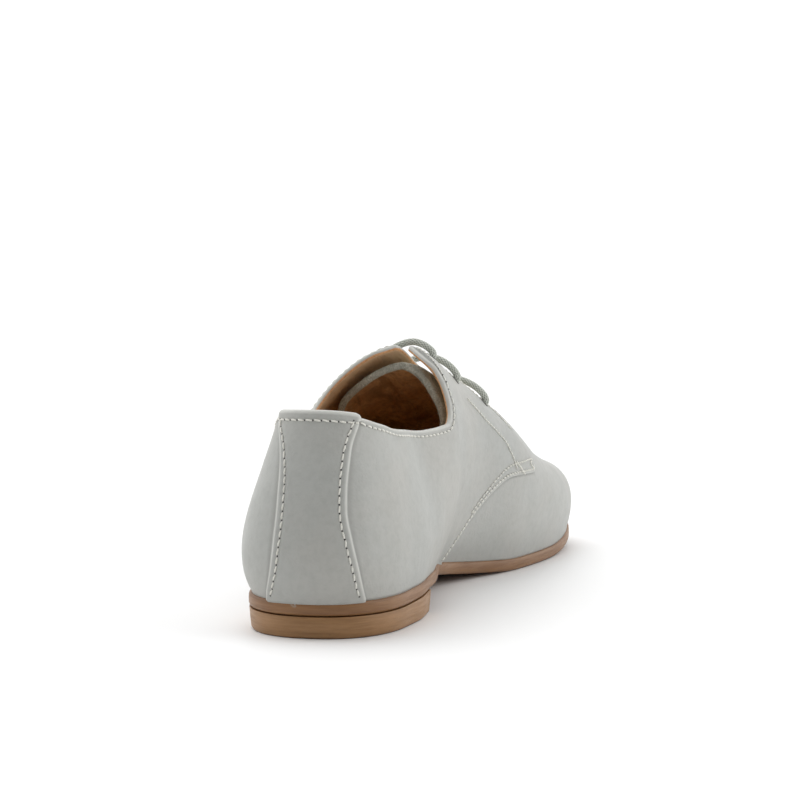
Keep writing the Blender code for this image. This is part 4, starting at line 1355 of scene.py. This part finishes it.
def make_materials():
    """All the materials, by short names."""
    made = {}
    n = Nodes("pale grey leather")
    blotch = n.noise(26, 3, 0.5)
    mottle = n.noise(420, 4, 0.6)
    pores = n.cells(1500)
    tint = n.mix(n.ramp(blotch, 0.34, 0.66), LEATHER_COOL, LEATHER_WARM)
    tint = n.mix(n.ramp(mottle, 0.35, 0.75, 0.0, 0.20), tint, LEATHER_DEEP)
    tint = n.mix(n.ramp(pores, 0.00, 0.22, 0.22, 0.0), tint, LEATHER_DEEP)
    # Painted shade: darker in the stitch furrows
    tint = n.mix(n.math("MULTIPLY", n.attribute("furrow_shade"), 0.16), tint, LEATHER_DEEP)
    # Painted highlight along the raised edges and the rounded rim, then painted shadow just past the strip's
    # and the tab's edges
    tint = n.mix(n.ramp(n.attribute("edge"), 0.0, 1.0, 0.0, 0.75), tint, LEATHER_EDGE_HIGHLIGHT)
    tint = n.mix(n.ramp(n.attribute("edge"), -0.8, 0.0, 0.75, 0.0), tint, LEATHER_DEEP)
    low = n.math("SUBTRACT", n.axis("Z"), n.ramp(n.noise(55, 3), 0.3, 0.7, 0.0085, 0.0125))
    tint = n.mix(n.ramp(low, 0.0, 0.010, 0.16, 0.0), tint, LEATHER_DEEP)
    grain = n.bump(n.cells(1250, "SMOOTH_F1"), 0.00022, 0.42)
    grain = n.bump(n.noise(3400, 2, 0.6), 0.00010, 0.30, grain)
    grain = n.bump(n.noise(210, 3, 0.6, distortion=0.4), 0.00040, 0.22, grain)
    rough = n.ramp(n.noise(130, 4), 0.3, 0.7, 0.46, 0.58)
    made["leather"] = n.finish(tint, rough, grain, Coat_Weight=0.10, Coat_Roughness=0.38,
                               Specular_IOR_Level=0.42)

    n = Nodes("tan lining leather")
    spot = n.noise(70, 4, 0.6)
    fibre = n.noise(900, 3, 0.6, n.stretched((1.0, 0.35, 1.0)))
    tint = n.mix(n.ramp(spot, 0.3, 0.7), LINING_LIGHT, LINING_DEEP)
    tint = n.mix(n.ramp(fibre, 0.35, 0.7, 0.0, 0.35), tint, LINING_DARK)
    wrinkle = n.noise(150, 3, 0.6, n.stretched((1.0, 0.22, 0.42)), 0.8)
    # Painted shade: darker in the hollows of the wrinkles
    tint = n.mix(n.ramp(wrinkle, 0.30, 0.50, 0.65, 0.0), tint, LINING_DARK)
    normal = n.bump(n.ramp(wrinkle, 0.30, 0.65), 0.0008, 0.6)
    normal = n.bump(fibre, 0.00015, 0.5, normal)
    # Painted light: lighter near the upper's top edge, where light comes in
    tint = n.mix(n.ramp(n.attribute("edge"), 0.25, 0.9, 0.0, 0.9), tint, LINING_LIT_NEAR_TOP)
    made["lining"] = n.finish(tint, n.ramp(spot, 0.3, 0.7, 0.60, 0.74), normal, Specular_IOR_Level=0.3)

    n = Nodes("cut edge")
    fibre = n.noise(1500, 4, 0.7)
    tint = n.mix(n.ramp(fibre, 0.3, 0.7), EDGE_LIGHT, EDGE_DEEP)
    made["edge"] = n.finish(tint, n.ramp(fibre, 0.3, 0.7, 0.7, 0.85), n.bump(fibre, 0.0003, 0.6))

    n = Nodes("grey suede")
    nap = n.noise(1500, 5, 0.75)
    fleck = n.cells(900)
    tint = n.mix(n.ramp(nap, 0.32, 0.68), SUEDE_DEEP, SUEDE_LIGHT)
    tint = n.mix(n.ramp(fleck, 0.0, 0.28, 0.75, 0.0), tint, SUEDE_FLECK)
    tint = n.mix(n.ramp(n.noise(260, 3), 0.45, 0.7, 0.0, 0.35), tint, SUEDE_DEEP)
    normal = n.bump(nap, 0.0005, 0.8)
    made["suede"] = n.finish(tint, n.ramp(nap, 0.3, 0.7, 0.82, 0.95), normal, Sheen_Weight=0.25,
                             Sheen_Roughness=0.5, Specular_IOR_Level=0.2)

    n = Nodes("woven lace")
    yarn = n.noise(2600, 3, 0.7)
    # Painted shade: darker in the grooves between the braid's strands
    tint = n.mix(n.ramp(n.attribute("weave"), -0.2, 1.0), LACE_DEEP, LACE_LIGHT)
    tint = n.mix(n.ramp(yarn, 0.35, 0.7, 0.0, 0.45), tint, LACE_DEEP)
    made["lace"] = n.finish(tint, n.ramp(yarn, 0.3, 0.7, 0.7, 0.85), n.bump(yarn, 0.00020, 0.7),
                            Sheen_Weight=0.15, Sheen_Roughness=0.5)

    n = Nodes("pale thread")
    twist = n.noise(5200, 2, 0.6, n.stretched((1.0, 1.0, 0.45)))
    tint = n.mix(n.ramp(twist, 0.3, 0.7), THREAD_DEEP, THREAD_LIGHT)
    made["thread"] = n.finish(tint, n.ramp(twist, 0.3, 0.7, 0.5, 0.65), n.bump(twist, 0.00010, 0.8))

    # Painted shade: the dark colour of the needle holes and lace holes stands in for the shade inside them
    n = Nodes("needle hole")
    dust = n.noise(3000, 2)
    tint = n.mix(n.ramp(dust, 0.3, 0.7), HOLE_SHADE_DARK, HOLE_SHADE_LIGHT)
    made["hole"] = n.finish(tint, n.ramp(dust, 0.3, 0.7, 0.8, 0.95), n.bump(dust, 0.0001, 0.5))

    for name, light, deep in (("sole", SOLE_LIGHT, SOLE_DEEP), ("heel", HEEL_LIGHT, HEEL_DEEP)):
        n = Nodes(f"tan {name} leather")
        streak = n.noise(60, 4, 0.6, n.stretched((1.0, 1.0, 14.0)))
        fine = n.noise(700, 4, 0.65, n.stretched((0.5, 0.5, 3.0)))
        tint = n.mix(n.ramp(streak, 0.3, 0.72), light, deep)
        tint = n.mix(n.ramp(fine, 0.35, 0.75, 0.0, 0.35), tint, deep)
        specks = n.cells(420)
        near_floor = n.ramp(n.axis("Z"), 0.0002, 0.0022, 1.0, 0.0)
        tint = n.mix(n.math("MULTIPLY", n.ramp(specks, 0.0, 0.26, 0.9, 0.0), near_floor), tint, SPECK)
        tint = n.mix(n.ramp(n.axis("Z"), 0.0, 0.0006, 0.85, 0.0), tint, SPECK)
        if name == "sole":
            mark = n.math("MULTIPLY", n.near(MARK_PLACE, 0.0003, 0.0021), n.ramp(n.noise(900, 3), 0.40, 0.55))
            tint = n.mix(mark, tint, LEATHER_WARM)
        normal = n.bump(fine, 0.00018, 0.45)
        normal = n.bump(streak, 0.0003, 0.25, normal)
        made[name] = n.finish(tint, n.ramp(streak, 0.3, 0.7, 0.42, 0.56), normal, Coat_Weight=0.12,
                              Coat_Roughness=0.35)

    n = Nodes("pale floor")
    dust = n.noise(4, 3)
    tint = n.mix(n.ramp(dust, 0.3, 0.7), FLOOR_DEEP, FLOOR_LIGHT)
    made["floor"] = n.finish(tint, n.ramp(dust, 0.3, 0.7, 0.55, 0.6))
    return made


def build_stage(floor_material):
    """Pale floor, soft white surroundings that darken behind the camera, a wide sun and a light at right."""
    mesh = bpy.data.meshes.new("floor")
    corners = [(x * FLOOR_HALF, y * FLOOR_HALF, 0) for x, y in ((-1, -1), (1, -1), (1, 1), (-1, 1))]
    mesh.from_pydata(corners, [], [(0, 1, 2, 3)])
    mesh.materials.append(floor_material)
    floor = bpy.data.objects.new("floor", mesh)
    bpy.context.scene.collection.objects.link(floor)
    world = bpy.data.worlds.new("studio")
    bpy.context.scene.world = world
    world.use_nodes = True
    tree = world.node_tree
    background = tree.nodes["Background"]
    background.inputs["Color"].default_value = (1.0, 1.0, 1.0, 1.0)
    place = tree.nodes.new("ShaderNodeTexCoord")
    toward = tree.nodes.new("ShaderNodeVectorMath")
    toward.operation = "DOT_PRODUCT"
    toward.inputs[1].default_value = DARK_SIDE
    tree.links.new(place.outputs["Generated"], toward.inputs[0])
    fade = tree.nodes.new("ShaderNodeMapRange")
    fade.interpolation_type = "SMOOTHSTEP"
    for key, number in zip(("From Min", "From Max", "To Min", "To Max"), DARK_FADE):
        fade.inputs[key].default_value = number
    tree.links.new(toward.outputs["Value"], fade.inputs["Value"])
    tree.links.new(fade.outputs["Result"], background.inputs["Strength"])
    data = bpy.data.lights.new("overhead", "SUN")
    data.energy = SUN_POWER
    data.angle = math.radians(SUN_WIDTH)
    sun = bpy.data.objects.new("overhead", data)
    sun.rotation_euler = Vector(SUN_FROM).to_track_quat("Z", "Y").to_euler()
    bpy.context.scene.collection.objects.link(sun)
    data = bpy.data.lights.new("right", "AREA")
    data.shape = "RECTANGLE"
    data.size, data.size_y = RIGHT_SIZE, RIGHT_SIZE
    data.energy = RIGHT_POWER
    light = bpy.data.objects.new("right", data)
    light.location = RIGHT_FROM
    light.rotation_euler = (Vector(RIGHT_AT) - Vector(RIGHT_FROM)).to_track_quat("-Z", "Y").to_euler()
    bpy.context.scene.collection.objects.link(light)
    bpy.context.scene.view_settings.view_transform = "Standard"
    bpy.context.scene.view_settings.look = "None"
    bpy.context.scene.view_settings.exposure = 0.0


def build_camera():
    """The camera at the photo's angle."""
    turn = math.radians(CAMERA_TURN)
    data = bpy.data.cameras.new("camera")
    data.sensor_width = 36.0
    data.lens = CAMERA_LENS
    data.clip_start, data.clip_end = CAMERA_CLIP
    camera = bpy.data.objects.new("camera", data)
    camera.location = (CAMERA_SIDE * math.cos(turn) + CAMERA_DISTANCE * math.sin(turn),
                       CAMERA_SIDE * math.sin(turn) - CAMERA_DISTANCE * math.cos(turn), CAMERA_HEIGHT)
    camera.rotation_euler = (math.radians(90 - CAMERA_DOWN), 0.0, turn)
    bpy.context.scene.collection.objects.link(camera)
    bpy.context.scene.camera = camera


def main():
    build_camera()
    made = make_materials()
    upper, rows = build_upper(made["leather"], made["lining"], made["edge"])
    tree = add_stitches(upper, rows, made["thread"], made["hole"])
    build_tongue(made["suede"], made["lining"])
    for number, (place, span_share) in enumerate(LACES, start=1):
        build_lace(number, place, LACE_SPAN * span_share, tree, made["lace"], made["hole"])
    turns = np.linspace(0, 1, 241)
    bottom = underside(along_of(turns))
    rings = [(inset, bottom + SOLE_THICKNESS * share) for share, inset in SOLE_SIDE]
    fine_slab("sole_leather", "outsole", made["sole"], turns, rings)
    turns = np.linspace(0, float(turn_of(HEEL_LENGTH / SOLE_LENGTH)), 70)
    top = underside(along_of(turns)) - TOUCH_GAP
    rings = [(inset, top * share) for share, inset in HEEL_SIDE]
    fine_slab("heel_block", "heel", made["heel"], turns, rings, HEEL_DIP)
    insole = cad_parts["insole"]
    insole.data.materials.clear()
    insole.data.materials.append(made["lining"])
    build_stage(made["floor"])


main()
